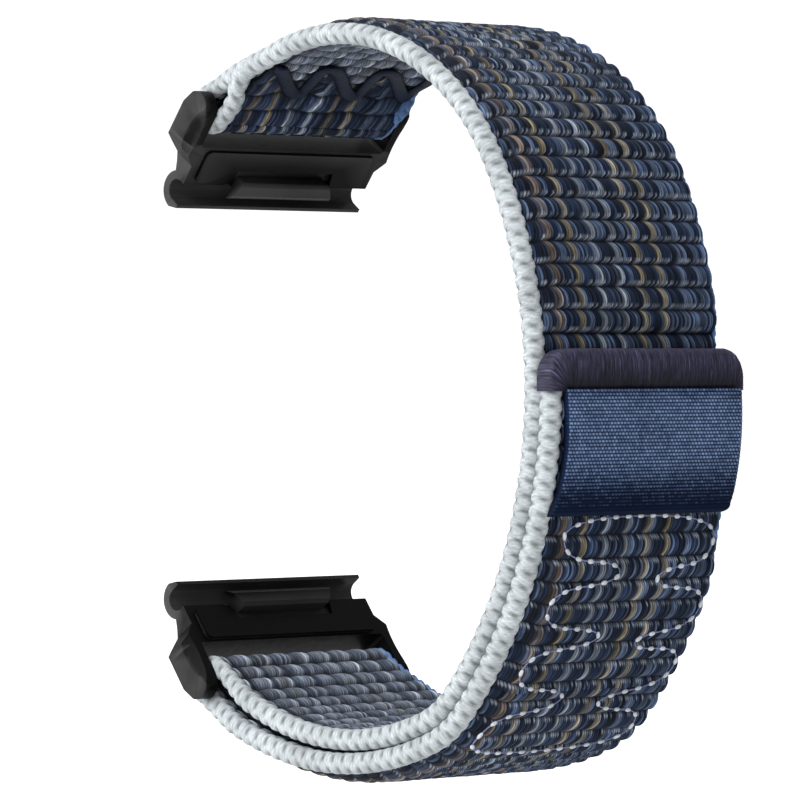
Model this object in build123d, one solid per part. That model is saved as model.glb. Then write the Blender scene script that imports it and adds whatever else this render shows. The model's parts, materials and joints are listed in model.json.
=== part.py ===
"""Fitness tracker band: a woven hook-and-loop strap between two quick-release connectors.

X runs from the tracker side to the clasp side of the loop, Y runs across the strap and
Z runs up.  The origin is the middle of the upper claw's bore.  All sizes are millimetres.

The strap is one long woven layer that starts as a flap inside the top of the loop, wraps
the upper bar, runs round the loop, wraps the lower bar and comes back outside as the tail.
"""
from build123d import *
import os
from math import acos, atan2, cos, degrees, hypot, radians, sin

# ---------------------------------------------------------------- driving dimensions
# Strap section
STRAP_WIDTH = 22.0          # over both edges
WEAVE_THICKNESS = 1.85      # one woven layer, also the thickness of its edges
WHITE_EDGE_WIDTH = 1.85     # braided cord on the near edge
BLUE_EDGE_WIDTH = 0.8       # thin edging on the far edge
LAYER_GAP = 0.08            # between the strap and the tail lying on it

# Run of the strap's middle line, from the upper bar clockwise to the lower bar
UPPER_HEADING = 18.1        # degrees above +X where the strap leaves the upper bar
UPPER_STRAIGHT = 10.8
TOP_RADIUS = 23.0
TOP_SWEEP = 79.6
SIDE_RADIUS = 39.8
SIDE_SWEEP = 70.3
HEEL_RADIUS = 9.0
HEEL_SWEEP = 26.3
BOTTOM_RADIUS = 28.65
BOTTOM_SWEEP = 58.0

# Folds round the bars
BAR_RADIUS = 0.7
FOLD_THICKNESS = 1.6        # the weave is pressed thinner where it wraps a bar
FOLD_SIDE_CLEARANCE = 0.4   # between the gathered fold and each arm
FOLD_CLEARANCE = 0.05       # between the bar and the fold
FOLD_REACH = 2.3            # straight length of the fold beyond the bar

# Flap that closes the upper fold, on the inside of the strap
FLAP_THICKNESS = 0.9
FLAP_RISE = 20.0            # degrees between the flap and the strap where it leaves the bar
FLAP_BEND_RADIUS = 5.0
FLAP_LENGTH = 5.1          # from the bend to the middle of its wavy end
WAVE_WIDTH = 2.2            # band of stitching along the wavy end
WAVE_HEIGHT = 5.6
WAVE_COUNT = 3

# Tail, measured along the tail's middle line down from its tip
BINDING_LENGTH = 3.3
BINDING_PROUD = 0.7         # above the tail's outer face
BINDING_OVERHANG = 0.6      # past the strap's edges
RIBBON_LENGTH = 10.3
RIBBON_INSET = 0.3          # from each edge of the strap
RIBBON_THICKNESS = 0.7
RIBBON_GAP = 0.15           # from the binding and from the tail's face
TIP_LENGTH = 15.0           # from the tip to the line where the tip lifts
TIP_HEIGHT = -14.7          # Z of the tip
HOOK_PATCH_LENGTH = 29.0
HOOK_PATCH_MARGIN = 1.175   # from each edge of the weave
HOOK_PATCH_THICKNESS = 0.5
HOOK_PATCH_START = 15.6     # from the tip

# Connector, in its own frame: P towards the strap, Q towards the wrist
CONNECTOR_TILT = 37.0       # degrees between P and Z
CLAW_OVERHANG = 0.2         # of the claw, past each edge of the strap
SLOT_SIDE_CLEARANCE = 0.15  # between the strap's edge and the inside of each arm
CLAW_BORE_RADIUS = 1.0
CLAW_WALL = 0.8
LIP_LENGTH = 0.95           # Q reach of the claw's lip
WRIST_FACE = 0.45           # Q of the face under the cover
WAIST_P = 2.2
WAIST_Q = -1.55
SHOULDER_P = 3.9
BACK_FACE = -2.8            # Q of the outer face
BACK_LENGTH = 3.6           # flat of the outer face
BAR_P = 8.3
BAR_Q = -1.1
NOSE_RADIUS = 1.5           # rounded end of each arm, about the bar
ARM_THICKNESS = 1.35
FLARE_START = 2.9           # P where the claw's width starts to grow to the arms' width
FLARE_END = 4.35
SLOT_CLEARANCE = 0.95       # between the fold and the edge of the slot
SLOT_CORNER_RADIUS = 0.35
SCOOP_P = 6.0               # conical scoop in the wrist side of each end
SCOOP_Q = 4.3
SCOOP_RADIUS = 5.15
SCOOP_DEPTH = 0.5           # along Y, where the scoop runs out into the wrist face

# Latch that closes the claw's mouth
LATCH_TRAVEL = 0.7
LATCH_CLEARANCE = 0.05
POCKET_WALL = 0.75          # between the bore and the latch's pocket
POCKET_FLOOR = -0.9         # Q of its floor
POCKET_END_WALL = 0.55      # between the pocket and the strap slot
BASE_LENGTH = 1.4           # of the latch's base, along P
TAB_TIP = 0.2               # P of the nose at rest
TAB_BACK = 2.0              # P of the tab's back
TAB_TIP_WIDTH = 12.6
TAB_BACK_WIDTH = 10.4
TAB_PROUD = 0.95            # above the cover
COVER_THICKNESS = 0.4
COVER_LAP = 0.35            # of the cover over the claw's side of the pocket
COVER_GAP = 0.85            # from the inside of each arm
COVER_RIM = 2.2             # of the cover outside the pocket, at each side
COVER_END = 4.75
COVER_CORNER_RADIUS = 0.6
COVER_PIN_RADIUS = 0.4
COVER_PIN_LENGTH = 1.2
COVER_PIN_SINK = 0.15       # of the pins below the cover's face
SPRING_RADIUS = 0.45
SPRING_SPACING = 9.0

# ---------------------------------------------------------------- derived values
CLAW_WIDTH = STRAP_WIDTH + 2 * CLAW_OVERHANG
ARM_INSIDE = STRAP_WIDTH / 2 + SLOT_SIDE_CLEARANCE
CONNECTOR_WIDTH = 2 * (ARM_INSIDE + ARM_THICKNESS)
FOLD_WIDTH = 2 * (ARM_INSIDE - FOLD_SIDE_CLEARANCE)
COVER_WIDTH = 2 * (ARM_INSIDE - COVER_GAP)
POCKET_WIDTH = COVER_WIDTH - 2 * COVER_RIM
POCKET_START = CLAW_BORE_RADIUS + POCKET_WALL
HALF = WEAVE_THICKNESS / 2
PITCH = WEAVE_THICKNESS + LAYER_GAP
FOLD_RADIUS = BAR_RADIUS + FOLD_CLEARANCE + FOLD_THICKNESS / 2
EDGE = STRAP_WIDTH / 2
WEAVE_NEAR = -EDGE + WHITE_EDGE_WIDTH
WEAVE_FAR = EDGE - BLUE_EDGE_WIDTH
SLOT_EDGE = BAR_P - FOLD_RADIUS - FOLD_THICKNESS / 2 - SLOT_CLEARANCE
COVER_FACE = WRIST_FACE + COVER_THICKNESS
RIBBON_WIDTH = STRAP_WIDTH - 2 * RIBBON_INSET


def direction(angle):
    """Unit vector (x, z) at an angle in degrees above +X."""
    return cos(radians(angle)), sin(radians(angle))


class Path:
    """Straight runs and tangent arcs in the XZ plane.  A positive sweep turns clockwise."""

    def __init__(self, start, heading, runs):
        self.start = start
        self.heading = heading
        self.runs = runs

    def legs(self):
        """Each run with its start point, heading, centre of curvature and signed radius."""
        x, z = self.start
        heading = self.heading
        for length, radius, sweep in self.runs:
            yield x, z, heading, length, radius, sweep
            x, z, heading = advance(x, z, heading, length, radius, sweep)

    def end(self):
        x, z = self.start
        heading = self.heading
        for length, radius, sweep in self.runs:
            x, z, heading = advance(x, z, heading, length, radius, sweep)
        return x, z, heading

    def length(self):
        return sum(leg_length(*run) for run in self.runs)

    def backwards(self):
        x, z, heading = self.end()
        runs = [(length, radius, -sweep) for length, radius, sweep in reversed(self.runs)]
        return Path((x, z), heading + 180, runs)

    def cut(self, begin, stop):
        """The part of the path between two distances along it."""
        x, z = self.start
        heading = self.heading
        runs = []
        first = None
        done = 0.0
        for length, radius, sweep in self.runs:
            size = leg_length(length, radius, sweep)
            a = min(max(begin - done, 0.0), size)
            b = min(max(stop - done, 0.0), size)
            if b - a > 1e-6:
                if first is None:
                    first = advance(x, z, heading, *part_of(length, radius, sweep, a))
                runs.append(part_of(length, radius, sweep, b - a))
            x, z, heading = advance(x, z, heading, length, radius, sweep)
            done += size
        return Path(first[:2], first[2], runs)


def leg_length(length, radius, sweep):
    return length + radius * radians(abs(sweep))


def part_of(length, radius, sweep, size):
    """The first part of a run, of the given size along it."""
    if radius:
        return 0.0, radius, degrees(size / radius) * (1 if sweep > 0 else -1)
    return size, 0.0, 0.0


def straight(length):
    return length, 0.0, 0.0


def arc(radius, sweep):
    return 0.0, radius, sweep


def advance(x, z, heading, length, radius, sweep):
    """Where a run ends, and its heading there."""
    if not radius:
        ux, uz = direction(heading)
        return x + length * ux, z + length * uz, heading
    side = 1 if sweep > 0 else -1
    cx, cz = centre_of(x, z, heading, radius, side)
    nx, nz = direction(heading - sweep + 90 * side)
    return cx + radius * nx, cz + radius * nz, heading - sweep


def centre_of(x, z, heading, radius, side):
    """Centre of a turn; side is 1 for a clockwise turn and -1 for the other way."""
    nx, nz = direction(heading - 90 * side)
    return x + radius * nx, z + radius * nz


def beside(x, z, heading, offset):
    """The point a distance to the left of a heading, which is the outside of the loop."""
    nx, nz = direction(heading + 90)
    return x + offset * nx, z + offset * nz


def offset_edges(path, offset):
    """The path's line moved sideways, as edges in the XZ plane."""
    edges = []
    for x, z, heading, length, radius, sweep in path.legs():
        end_x, end_z, end_heading = advance(x, z, heading, length, radius, sweep)
        a = beside(x, z, heading, offset)
        b = beside(end_x, end_z, end_heading, offset)
        if radius:
            half = advance(x, z, heading, 0.0, radius, sweep / 2)
            m = beside(*half, offset)
            edges.append(Edge.make_three_point_arc(point(a), point(m), point(b)))
        else:
            edges.append(Edge.make_line(point(a), point(b)))
    return edges


def point(xz, y=0.0):
    return Vector(xz[0], y, xz[1])


def band(path, inner, outer, near, far):
    """A layer that follows a path, between two offsets from it and two places across it."""
    low = offset_edges(path, inner)
    high = offset_edges(path, outer)
    first = Edge.make_line(low[0] @ 0, high[0] @ 0)
    last = Edge.make_line(low[-1] @ 1, high[-1] @ 1)
    face = Face(Wire(low + [last] + high + [first]))
    solid = extrude(face, amount=far - near, dir=(0, 1, 0))
    return Pos(0, near, 0) * solid


# ---------------------------------------------------------------- the strap's lines
def local_to_world(p, q, lower_claw=None):
    """A connector point: the lower connector is the upper one turned upside down."""
    x = p * sin(radians(CONNECTOR_TILT)) + q * cos(radians(CONNECTOR_TILT))
    z = p * cos(radians(CONNECTOR_TILT)) - q * sin(radians(CONNECTOR_TILT))
    if lower_claw is None:
        return x, z
    return lower_claw[0] + x, lower_claw[1] - z


UPPER_BAR = local_to_world(BAR_P, BAR_Q)
MAIN_START = beside(*UPPER_BAR, UPPER_HEADING, FOLD_RADIUS)
MAIN = Path(MAIN_START, UPPER_HEADING, [
    straight(UPPER_STRAIGHT),
    arc(TOP_RADIUS, TOP_SWEEP),
    arc(SIDE_RADIUS, SIDE_SWEEP),
    arc(HEEL_RADIUS, HEEL_SWEEP),
    arc(BOTTOM_RADIUS, BOTTOM_SWEEP),
])
MAIN_END_X, MAIN_END_Z, MAIN_END_HEADING = MAIN.end()
LOWER_BAR = beside(MAIN_END_X, MAIN_END_Z, MAIN_END_HEADING, FOLD_RADIUS)
BAR_FROM_CLAW = local_to_world(BAR_P, BAR_Q)
LOWER_CLAW = (LOWER_BAR[0] - BAR_FROM_CLAW[0], LOWER_BAR[1] + BAR_FROM_CLAW[1])


def tail_path():
    """The tail from its tip down: beside the strap, then on one arc to the lower bar."""
    side_centre_z = side_turn_centre()[1]
    side_centre_x = side_turn_centre()[0]
    radius = SIDE_RADIUS + PITCH
    rise = (TIP_HEIGHT - side_centre_z) / radius
    tip_normal = degrees(atan2(rise, (1 - rise * rise) ** 0.5))
    tip_x = side_centre_x + radius * cos(radians(tip_normal))
    tip_heading = tip_normal - 90
    side_end_heading = UPPER_HEADING - TOP_SWEEP - SIDE_SWEEP
    heel_end_heading = side_end_heading - HEEL_SWEEP
    beside_runs = [
        arc(radius, tip_heading - side_end_heading),
        arc(HEEL_RADIUS + PITCH, HEEL_SWEEP),
    ]
    start = (tip_x, TIP_HEIGHT)
    x, z, heading = Path(start, tip_heading, beside_runs).end()
    to_bar = (LOWER_BAR[0] - x, LOWER_BAR[1] - z)
    nx, nz = direction(heading + 90)
    across = to_bar[0] * nx + to_bar[1] * nz
    span = to_bar[0] ** 2 + to_bar[1] ** 2
    last_radius = (FOLD_RADIUS ** 2 - span) / (2 * (across + FOLD_RADIUS))
    cx, cz = centre_of(x, z, heading, last_radius, 1)
    touch = degrees(atan2(LOWER_BAR[1] - cz, LOWER_BAR[0] - cx))
    last_sweep = (heading + 90 - touch) % 360
    return Path(start, tip_heading, beside_runs + [arc(last_radius, last_sweep)])


def side_turn_centre():
    x, z = MAIN.start
    heading = MAIN.heading
    for run in MAIN.runs[:2]:
        x, z, heading = advance(x, z, heading, *run)
    return centre_of(x, z, heading, SIDE_RADIUS, 1)


TAIL = tail_path()
TAIL_LENGTH = TAIL.length()


def flap_path():
    """The flap's middle line from the upper bar: a short slant, a bend, then beside the strap."""
    heading = UPPER_HEADING + FLAP_RISE
    start = beside(*UPPER_BAR, heading, -FOLD_RADIUS)
    offset = -HALF - FLAP_THICKNESS / 2
    line_x, line_z = beside(*MAIN_START, UPPER_HEADING, offset)
    nx, nz = direction(UPPER_HEADING + 90)
    drop = (line_x - start[0]) * nx + (line_z - start[1]) * nz
    bend_rise = FLAP_BEND_RADIUS * (1 - cos(radians(FLAP_RISE)))
    slant = (drop - bend_rise) / sin(radians(FLAP_RISE))
    ux, uz = direction(UPPER_HEADING)
    slant_runs = [straight(slant), arc(FLAP_BEND_RADIUS, FLAP_RISE)]
    x, z, _ = Path(start, heading, slant_runs).end()
    along = (x - line_x) * ux + (z - line_z) * uz
    left = UPPER_STRAIGHT - along
    curve = FLAP_LENGTH - left
    radius = TOP_RADIUS + offset
    runs = slant_runs + [straight(left), arc(radius, degrees(curve / radius))]
    return Path(start, heading, runs)


FLAP = flap_path()


# ---------------------------------------------------------------- strap pieces
def fold(before, wrap, after):
    """The gathered weave round a bar, between the ends of the two layers that leave it."""
    reach_in = min(FOLD_REACH, before.length())
    begin = before.cut(before.length() - reach_in, before.length())
    runs = begin.runs + [arc(FOLD_RADIUS, wrap)] + after.cut(0.0, FOLD_REACH).runs
    half = FOLD_THICKNESS / 2
    path = Path(begin.start, begin.heading, runs)
    return band(path, -half, half, -FOLD_WIDTH / 2, FOLD_WIDTH / 2)


def upper_fold():
    """From the flap, clockwise round the upper bar, to the strap."""
    wrap = FLAP.heading + 180 - UPPER_HEADING
    return fold(FLAP.cut(0.0, FOLD_REACH).backwards(), wrap, MAIN)


def lower_fold():
    """From the tail, clockwise round the lower bar, to the strap."""
    wrap = (TAIL.end()[2] - MAIN_END_HEADING - 180) % 360
    return fold(TAIL, wrap, MAIN.backwards())


def three_strips(path, inner, outer):
    """The weave and its two edges along a path."""
    weave = band(path, inner, outer, WEAVE_NEAR, WEAVE_FAR)
    white = band(path, inner, outer, -EDGE, WEAVE_NEAR)
    blue = band(path, inner, outer, WEAVE_FAR, EDGE)
    return weave, white, blue


def wave_cutter(grow):
    """Everything past the flap's wavy end, seen from above, moved along by grow."""
    span = EDGE * 2 + 4
    steps = WAVE_COUNT * 2
    step = (WEAVE_FAR - WEAVE_NEAR) / steps
    end_x = flap_end_x() + grow
    points = []
    for i in range(steps + 1):
        side = 1 if i % 2 else -1
        points.append((end_x + side * WAVE_HEIGHT / 2, WEAVE_NEAR + i * step))
    edge = Edge.make_spline([Vector(x, y, 0) for x, y in points])
    far_x = end_x + 30
    first = Vector(points[0][0], points[0][1], 0)
    last = Vector(points[-1][0], points[-1][1], 0)
    loop = [
        edge,
        Edge.make_line(last, Vector(last.X, span, 0)),
        Edge.make_line(Vector(last.X, span, 0), Vector(far_x, span, 0)),
        Edge.make_line(Vector(far_x, span, 0), Vector(far_x, -span, 0)),
        Edge.make_line(Vector(far_x, -span, 0), Vector(first.X, -span, 0)),
        Edge.make_line(Vector(first.X, -span, 0), first),
    ]
    return Pos(0, 0, -20) * extrude(Face(Wire(loop)), amount=60, dir=(0, 0, 1))


def flap_end_x():
    return FLAP.end()[0] - WAVE_HEIGHT / 2 - WAVE_WIDTH


def flap_pieces():
    """The woven flap and the stitched band along its wavy end."""
    half = FLAP_THICKNESS / 2
    path = FLAP.cut(FOLD_REACH, FLAP.length())
    whole = band(path, -half, half, WEAVE_NEAR, WEAVE_FAR)
    flap = whole - wave_cutter(0.0)
    seam = (whole & wave_cutter(0.0)) - wave_cutter(WAVE_WIDTH)
    return flap, seam


def tail_pieces():
    """The tail between the tip's lift line and the lower fold, with the hook patch let in."""
    path = TAIL.cut(TIP_LENGTH, TAIL_LENGTH - FOLD_REACH)
    weave, white, blue = three_strips(path, -HALF, HALF)
    patch_path = TAIL.cut(HOOK_PATCH_START, HOOK_PATCH_START + HOOK_PATCH_LENGTH)
    near = WEAVE_NEAR + HOOK_PATCH_MARGIN
    far = WEAVE_FAR - HOOK_PATCH_MARGIN
    patch = band(patch_path, -HALF, -HALF + HOOK_PATCH_THICKNESS, near, far)
    return weave - patch, white, blue, patch


def tip_pieces():
    """The part of the tail that lifts: weave, edges, bound end and pull tab."""
    path = TAIL.cut(BINDING_LENGTH, TIP_LENGTH - LAYER_GAP)
    weave, white, blue = three_strips(path, -HALF, HALF)
    reach = EDGE + BINDING_OVERHANG
    binding = band(TAIL.cut(0.0, BINDING_LENGTH), -HALF, HALF + BINDING_PROUD, -reach, reach)
    start = BINDING_LENGTH + RIBBON_GAP
    ribbon_path = TAIL.cut(start, start + RIBBON_LENGTH)
    low = HALF + RIBBON_GAP
    near = -RIBBON_WIDTH / 2
    far = RIBBON_WIDTH / 2
    ribbon = band(ribbon_path, low, low + RIBBON_THICKNESS, near, far)
    return weave, white, blue, binding, ribbon


# ---------------------------------------------------------------- connector pieces
def qp(q, p):
    return Vector(q, 0, p)


def across(face, width):
    """A profile in the QP plane made into a solid of the given width, centred on Y."""
    return Pos(0, -width / 2, 0) * extrude(face, amount=width, dir=(0, 1, 0))


def q_box(q0, q1, p0, p1, width):
    return Pos((q0 + q1) / 2, 0, (p0 + p1) / 2) * Box(q1 - q0, width, p1 - p0)


def y_cylinder(radius, length, q=0.0, p=0.0):
    return Pos(q, 0, p) * Rot(90, 0, 0) * Cylinder(radius, length)


def frame_profile():
    """End view of the connector: claw, waist, shoulder, back and nose."""
    outer = CLAW_BORE_RADIUS + CLAW_WALL
    bore = CLAW_BORE_RADIUS
    back_end = SHOULDER_P + 0.4 + BACK_LENGTH
    nose_out = 40.0
    touch = (BAR_Q - NOSE_RADIUS * cos(radians(nose_out)), BAR_P + NOSE_RADIUS * sin(radians(nose_out)))
    lip_in = qp(LIP_LENGTH, -bore)
    lip_out = qp(LIP_LENGTH, -bore - 0.35)
    claw_low = qp(0, -outer)
    claw_side = qp(-outer, 0)
    claw_top = qp(-outer * cos(radians(50)), outer * sin(radians(50)))
    edges = [
        Edge.make_line(qp(0, -bore), lip_in),
        Edge.make_line(lip_in, lip_out),
        Edge.make_line(lip_out, claw_low),
        Edge.make_three_point_arc(
            claw_low, qp(-outer * cos(radians(45)), -outer * sin(radians(45))), claw_side),
        Edge.make_three_point_arc(
            claw_side, qp(-outer * cos(radians(25)), outer * sin(radians(25))), claw_top),
        Edge.make_line(claw_top, qp(WAIST_Q, WAIST_P)),
        Edge.make_line(qp(WAIST_Q, WAIST_P), qp(BACK_FACE + 0.15, SHOULDER_P)),
        Edge.make_line(qp(BACK_FACE + 0.15, SHOULDER_P), qp(BACK_FACE, SHOULDER_P + 0.4)),
        Edge.make_line(qp(BACK_FACE, SHOULDER_P + 0.4), qp(BACK_FACE, back_end)),
        Edge.make_line(qp(BACK_FACE, back_end), qp(*touch)),
        Edge.make_three_point_arc(
            qp(*touch), qp(BAR_Q + NOSE_RADIUS * sin(radians(25)), BAR_P + NOSE_RADIUS * cos(radians(25))),
            qp(BAR_Q + NOSE_RADIUS, BAR_P)),
        Edge.make_line(qp(BAR_Q + NOSE_RADIUS, BAR_P), qp(WRIST_FACE, BAR_P - 0.3)),
        Edge.make_line(qp(WRIST_FACE, BAR_P - 0.3), qp(WRIST_FACE, bore)),
        Edge.make_line(qp(WRIST_FACE, bore), qp(0, bore)),
        Edge.make_three_point_arc(qp(0, bore), qp(-bore, 0), qp(0, -bore)),
    ]
    return Face(Wire(edges))


def connector_frame():
    body = across(frame_profile(), CONNECTOR_WIDTH)
    slot = q_box(BACK_FACE - 1, COVER_FACE + 1, SLOT_EDGE, BAR_P + NOSE_RADIUS + 1, ARM_INSIDE * 2)
    slot = fillet(slot.edges().filter_by(Axis.X).group_by(Axis.Z)[0], SLOT_CORNER_RADIUS)
    body -= slot
    inner_radius = SCOOP_Q - WRIST_FACE
    slope = (SCOOP_RADIUS - inner_radius) / SCOOP_DEPTH
    for side in (-1, 1):
        scoop = Cone(inner_radius, SCOOP_RADIUS + slope * 1.0, SCOOP_DEPTH + 1.0)
        middle = side * (CONNECTOR_WIDTH / 2 + (1.0 - SCOOP_DEPTH) / 2)
        body -= Pos(SCOOP_Q, middle, SCOOP_P) * Rot(-90 * side, 0, 0) * scoop
        body -= flare_cutter(side)
    channel_width = TAB_TIP_WIDTH + 2 * LATCH_CLEARANCE
    body -= q_box(0.0, COVER_FACE, 0.0, POCKET_START, channel_width)
    body -= q_box(POCKET_FLOOR, COVER_FACE, POCKET_START, pocket_end(), POCKET_WIDTH)
    body -= cover_pin_group()
    body -= y_cylinder(BAR_RADIUS, bar_length(), BAR_Q, BAR_P)
    return body


def flare_cutter(side):
    """The space beside the claw at one end, which leaves the arms wider than the claw."""
    claw = side * CLAW_WIDTH / 2
    arm = side * CONNECTOR_WIDTH / 2
    outside = side * (CONNECTOR_WIDTH / 2 + 2)
    low = -CLAW_BORE_RADIUS - CLAW_WALL - 1
    corners = [(claw, low), (claw, FLARE_START), (arm, FLARE_END), (outside, FLARE_END), (outside, low)]
    outline = Wire.make_polygon([Vector(BACK_FACE - 1, y, p) for y, p in corners])
    return extrude(Face(outline), amount=COVER_FACE - BACK_FACE + 2, dir=(1, 0, 0))


def arms_box():
    """The space past the slot's edge, which holds nothing of the frame but its two arms."""
    far = BAR_P + NOSE_RADIUS + 1
    return q_box(BACK_FACE - 1, COVER_FACE + 1, SLOT_EDGE, far, CONNECTOR_WIDTH + 2)


def claw_body():
    return connector_frame() - arms_box()


def side_arms():
    """The two arms that carry the strap bar, from the slot's edge to their noses."""
    return connector_frame() & arms_box()


def pocket_end():
    return SLOT_EDGE - POCKET_END_WALL


def bar_length():
    return CONNECTOR_WIDTH - 1.0


def cover_notch():
    """The window in the cover for the latch's tab and its travel."""
    end = TAB_BACK + LATCH_TRAVEL + 2 * LATCH_CLEARANCE
    tip_half = TAB_TIP_WIDTH / 2 + 3 * LATCH_CLEARANCE
    back_half = TAB_BACK_WIDTH / 2 + 3 * LATCH_CLEARANCE + tab_flare(LATCH_TRAVEL)
    corners = [(-tip_half, 0.0), (tip_half, 0.0), (back_half, end), (-back_half, end)]
    outline = Wire.make_polygon([Vector(WRIST_FACE - 0.2, y, p) for y, p in corners])
    return extrude(Face(outline), amount=COVER_THICKNESS + 0.6, dir=(1, 0, 0))


def tab_flare(rise):
    """How much wider the tab is at each side, a distance nearer its tip."""
    return rise * (TAB_TIP_WIDTH - TAB_BACK_WIDTH) / 2 / (TAB_BACK - TAB_TIP)


def cover():
    start = POCKET_START - COVER_LAP
    plate = q_box(WRIST_FACE, COVER_FACE, start, COVER_END, COVER_WIDTH)
    plate = fillet(plate.edges().filter_by(Axis.X), COVER_CORNER_RADIUS)
    return plate - cover_notch() - cover_pin_group()


def cover_pin_group():
    """Two blind pins that hold the cover to the frame, outside the latch's pocket."""
    pins = []
    pin_y = (POCKET_WIDTH / 2 + COVER_WIDTH / 2) / 2
    pin_q = COVER_FACE - COVER_PIN_SINK - COVER_PIN_LENGTH / 2
    for side in (-1, 1):
        place = Pos(pin_q, side * pin_y, (WAIST_P + COVER_END) / 2)
        pins.append(place * Rot(0, 90, 0) * Cylinder(COVER_PIN_RADIUS, COVER_PIN_LENGTH))
    return Part() + pins


def latch():
    """The slider: a base in the pocket and a tab whose nose closes the claw's mouth."""
    low = POCKET_START + LATCH_CLEARANCE
    top = WRIST_FACE - LATCH_CLEARANCE
    base = q_box(POCKET_FLOOR + LATCH_CLEARANCE, top, low, low + BASE_LENGTH,
                 POCKET_WIDTH - 2 * LATCH_CLEARANCE)
    nose_q = CLAW_BORE_RADIUS + 2 * LATCH_CLEARANCE
    tab_q = COVER_FACE + TAB_PROUD
    heel = CLAW_BORE_RADIUS + 2 * LATCH_CLEARANCE
    profile = Wire.make_polygon([
        qp(LATCH_CLEARANCE, heel),
        qp(nose_q, heel),
        qp(nose_q, TAB_TIP),
        qp(tab_q - 0.4, TAB_TIP),
        qp(tab_q, TAB_TIP + 0.5),
        qp(tab_q, TAB_BACK - 0.3),
        qp(tab_q - 0.3, TAB_BACK),
        qp(LATCH_CLEARANCE, TAB_BACK),
    ])
    tab = across(Face(profile), TAB_TIP_WIDTH)
    tip_half = TAB_TIP_WIDTH / 2
    back_half = TAB_BACK_WIDTH / 2
    corners = [(-tip_half, TAB_TIP), (tip_half, TAB_TIP), (back_half, TAB_BACK), (-back_half, TAB_BACK)]
    outline = Wire.make_polygon([Vector(0, y, p) for y, p in corners])
    tab &= extrude(Face(outline), amount=tab_q + 1, dir=(1, 0, 0))
    return base + tab


def springs():
    """Two small compression springs behind the latch's base, as plain cylinders."""
    begin = POCKET_START + LATCH_CLEARANCE + BASE_LENGTH
    size = pocket_end() - begin
    group = []
    for side in (-1, 1):
        place = Pos((POCKET_FLOOR + WRIST_FACE) / 2, side * SPRING_SPACING / 2, begin + size / 2)
        group.append(place * Cylinder(SPRING_RADIUS, size))
    return Part() + group


def bar():
    return y_cylinder(BAR_RADIUS, bar_length(), BAR_Q, BAR_P)


CONNECTOR_PIECES = {
    "claw_body": claw_body,
    "side_arms": side_arms,
    "cover": cover,
    "cover_pins": cover_pin_group,
    "strap_bar": bar,
    "latch": latch,
    "latch_springs": springs,
}


def place_upper(piece):
    return Rot(0, CONNECTOR_TILT, 0) * piece


def place_lower(piece):
    flipped = mirror(Rot(0, CONNECTOR_TILT, 0) * piece, about=Plane.XY)
    return Pos(LOWER_CLAW[0], 0, LOWER_CLAW[1]) * flipped


# ---------------------------------------------------------------- build and write
def build():
    nodes = {}
    for name, make in CONNECTOR_PIECES.items():
        piece = make()
        nodes["upper_" + name] = place_upper(piece)
        nodes["lower_" + name] = place_lower(piece)
    nodes["upper_fold"] = upper_fold()
    nodes["lower_fold"] = lower_fold()
    nodes["fold_flap"], nodes["flap_wave_seam"] = flap_pieces()
    main = MAIN.cut(FOLD_REACH, MAIN.length() - FOLD_REACH)
    strips = three_strips(main, -HALF, HALF)
    nodes["strap_weave"], nodes["strap_white_cord"], nodes["strap_blue_edge"] = strips
    strips = tail_pieces()
    nodes["tail_weave"], nodes["tail_white_cord"], nodes["tail_blue_edge"], nodes["hook_patch"] = strips
    strips = tip_pieces()
    nodes["tip_weave"], nodes["tip_white_cord"], nodes["tip_blue_edge"] = strips[:3]
    nodes["end_binding"], nodes["pull_tab_ribbon"] = strips[3:]
    return nodes


os.makedirs("parts", exist_ok=True)
for node_name, solid in build().items():
    export_step(solid, os.path.join("parts", node_name + ".step"))
print("lower claw", [round(v, 3) for v in LOWER_CLAW])
print("strap length", round(MAIN.length(), 1), "tail length", round(TAIL_LENGTH, 1))
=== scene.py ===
"""Fitness tracker band: the looks of the woven strap and its two connectors.

X runs from the tracker side to the clasp side, Y runs across the strap and Z runs up.  The
strap's lines and sizes below repeat the part's, in millimetres, and meshes are made in metres.
"""
import json

import bpy
import numpy as np
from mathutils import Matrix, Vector


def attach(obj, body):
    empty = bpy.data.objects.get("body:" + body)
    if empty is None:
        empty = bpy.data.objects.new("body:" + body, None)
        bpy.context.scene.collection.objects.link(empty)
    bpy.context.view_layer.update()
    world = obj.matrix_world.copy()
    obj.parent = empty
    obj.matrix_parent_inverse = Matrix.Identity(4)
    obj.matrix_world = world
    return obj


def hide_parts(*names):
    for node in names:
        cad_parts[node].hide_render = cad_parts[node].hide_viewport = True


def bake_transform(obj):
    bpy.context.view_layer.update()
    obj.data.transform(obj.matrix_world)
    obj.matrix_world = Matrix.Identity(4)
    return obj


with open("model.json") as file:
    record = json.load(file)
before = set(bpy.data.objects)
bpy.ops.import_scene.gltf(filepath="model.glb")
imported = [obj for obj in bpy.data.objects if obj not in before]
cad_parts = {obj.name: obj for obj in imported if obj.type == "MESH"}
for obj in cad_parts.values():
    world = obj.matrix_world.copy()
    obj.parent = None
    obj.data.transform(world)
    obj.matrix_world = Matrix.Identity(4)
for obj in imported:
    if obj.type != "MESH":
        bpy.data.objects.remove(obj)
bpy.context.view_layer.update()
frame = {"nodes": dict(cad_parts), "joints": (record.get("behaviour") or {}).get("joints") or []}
MM = 0.001
RANDOM = np.random.default_rng(7)

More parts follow.
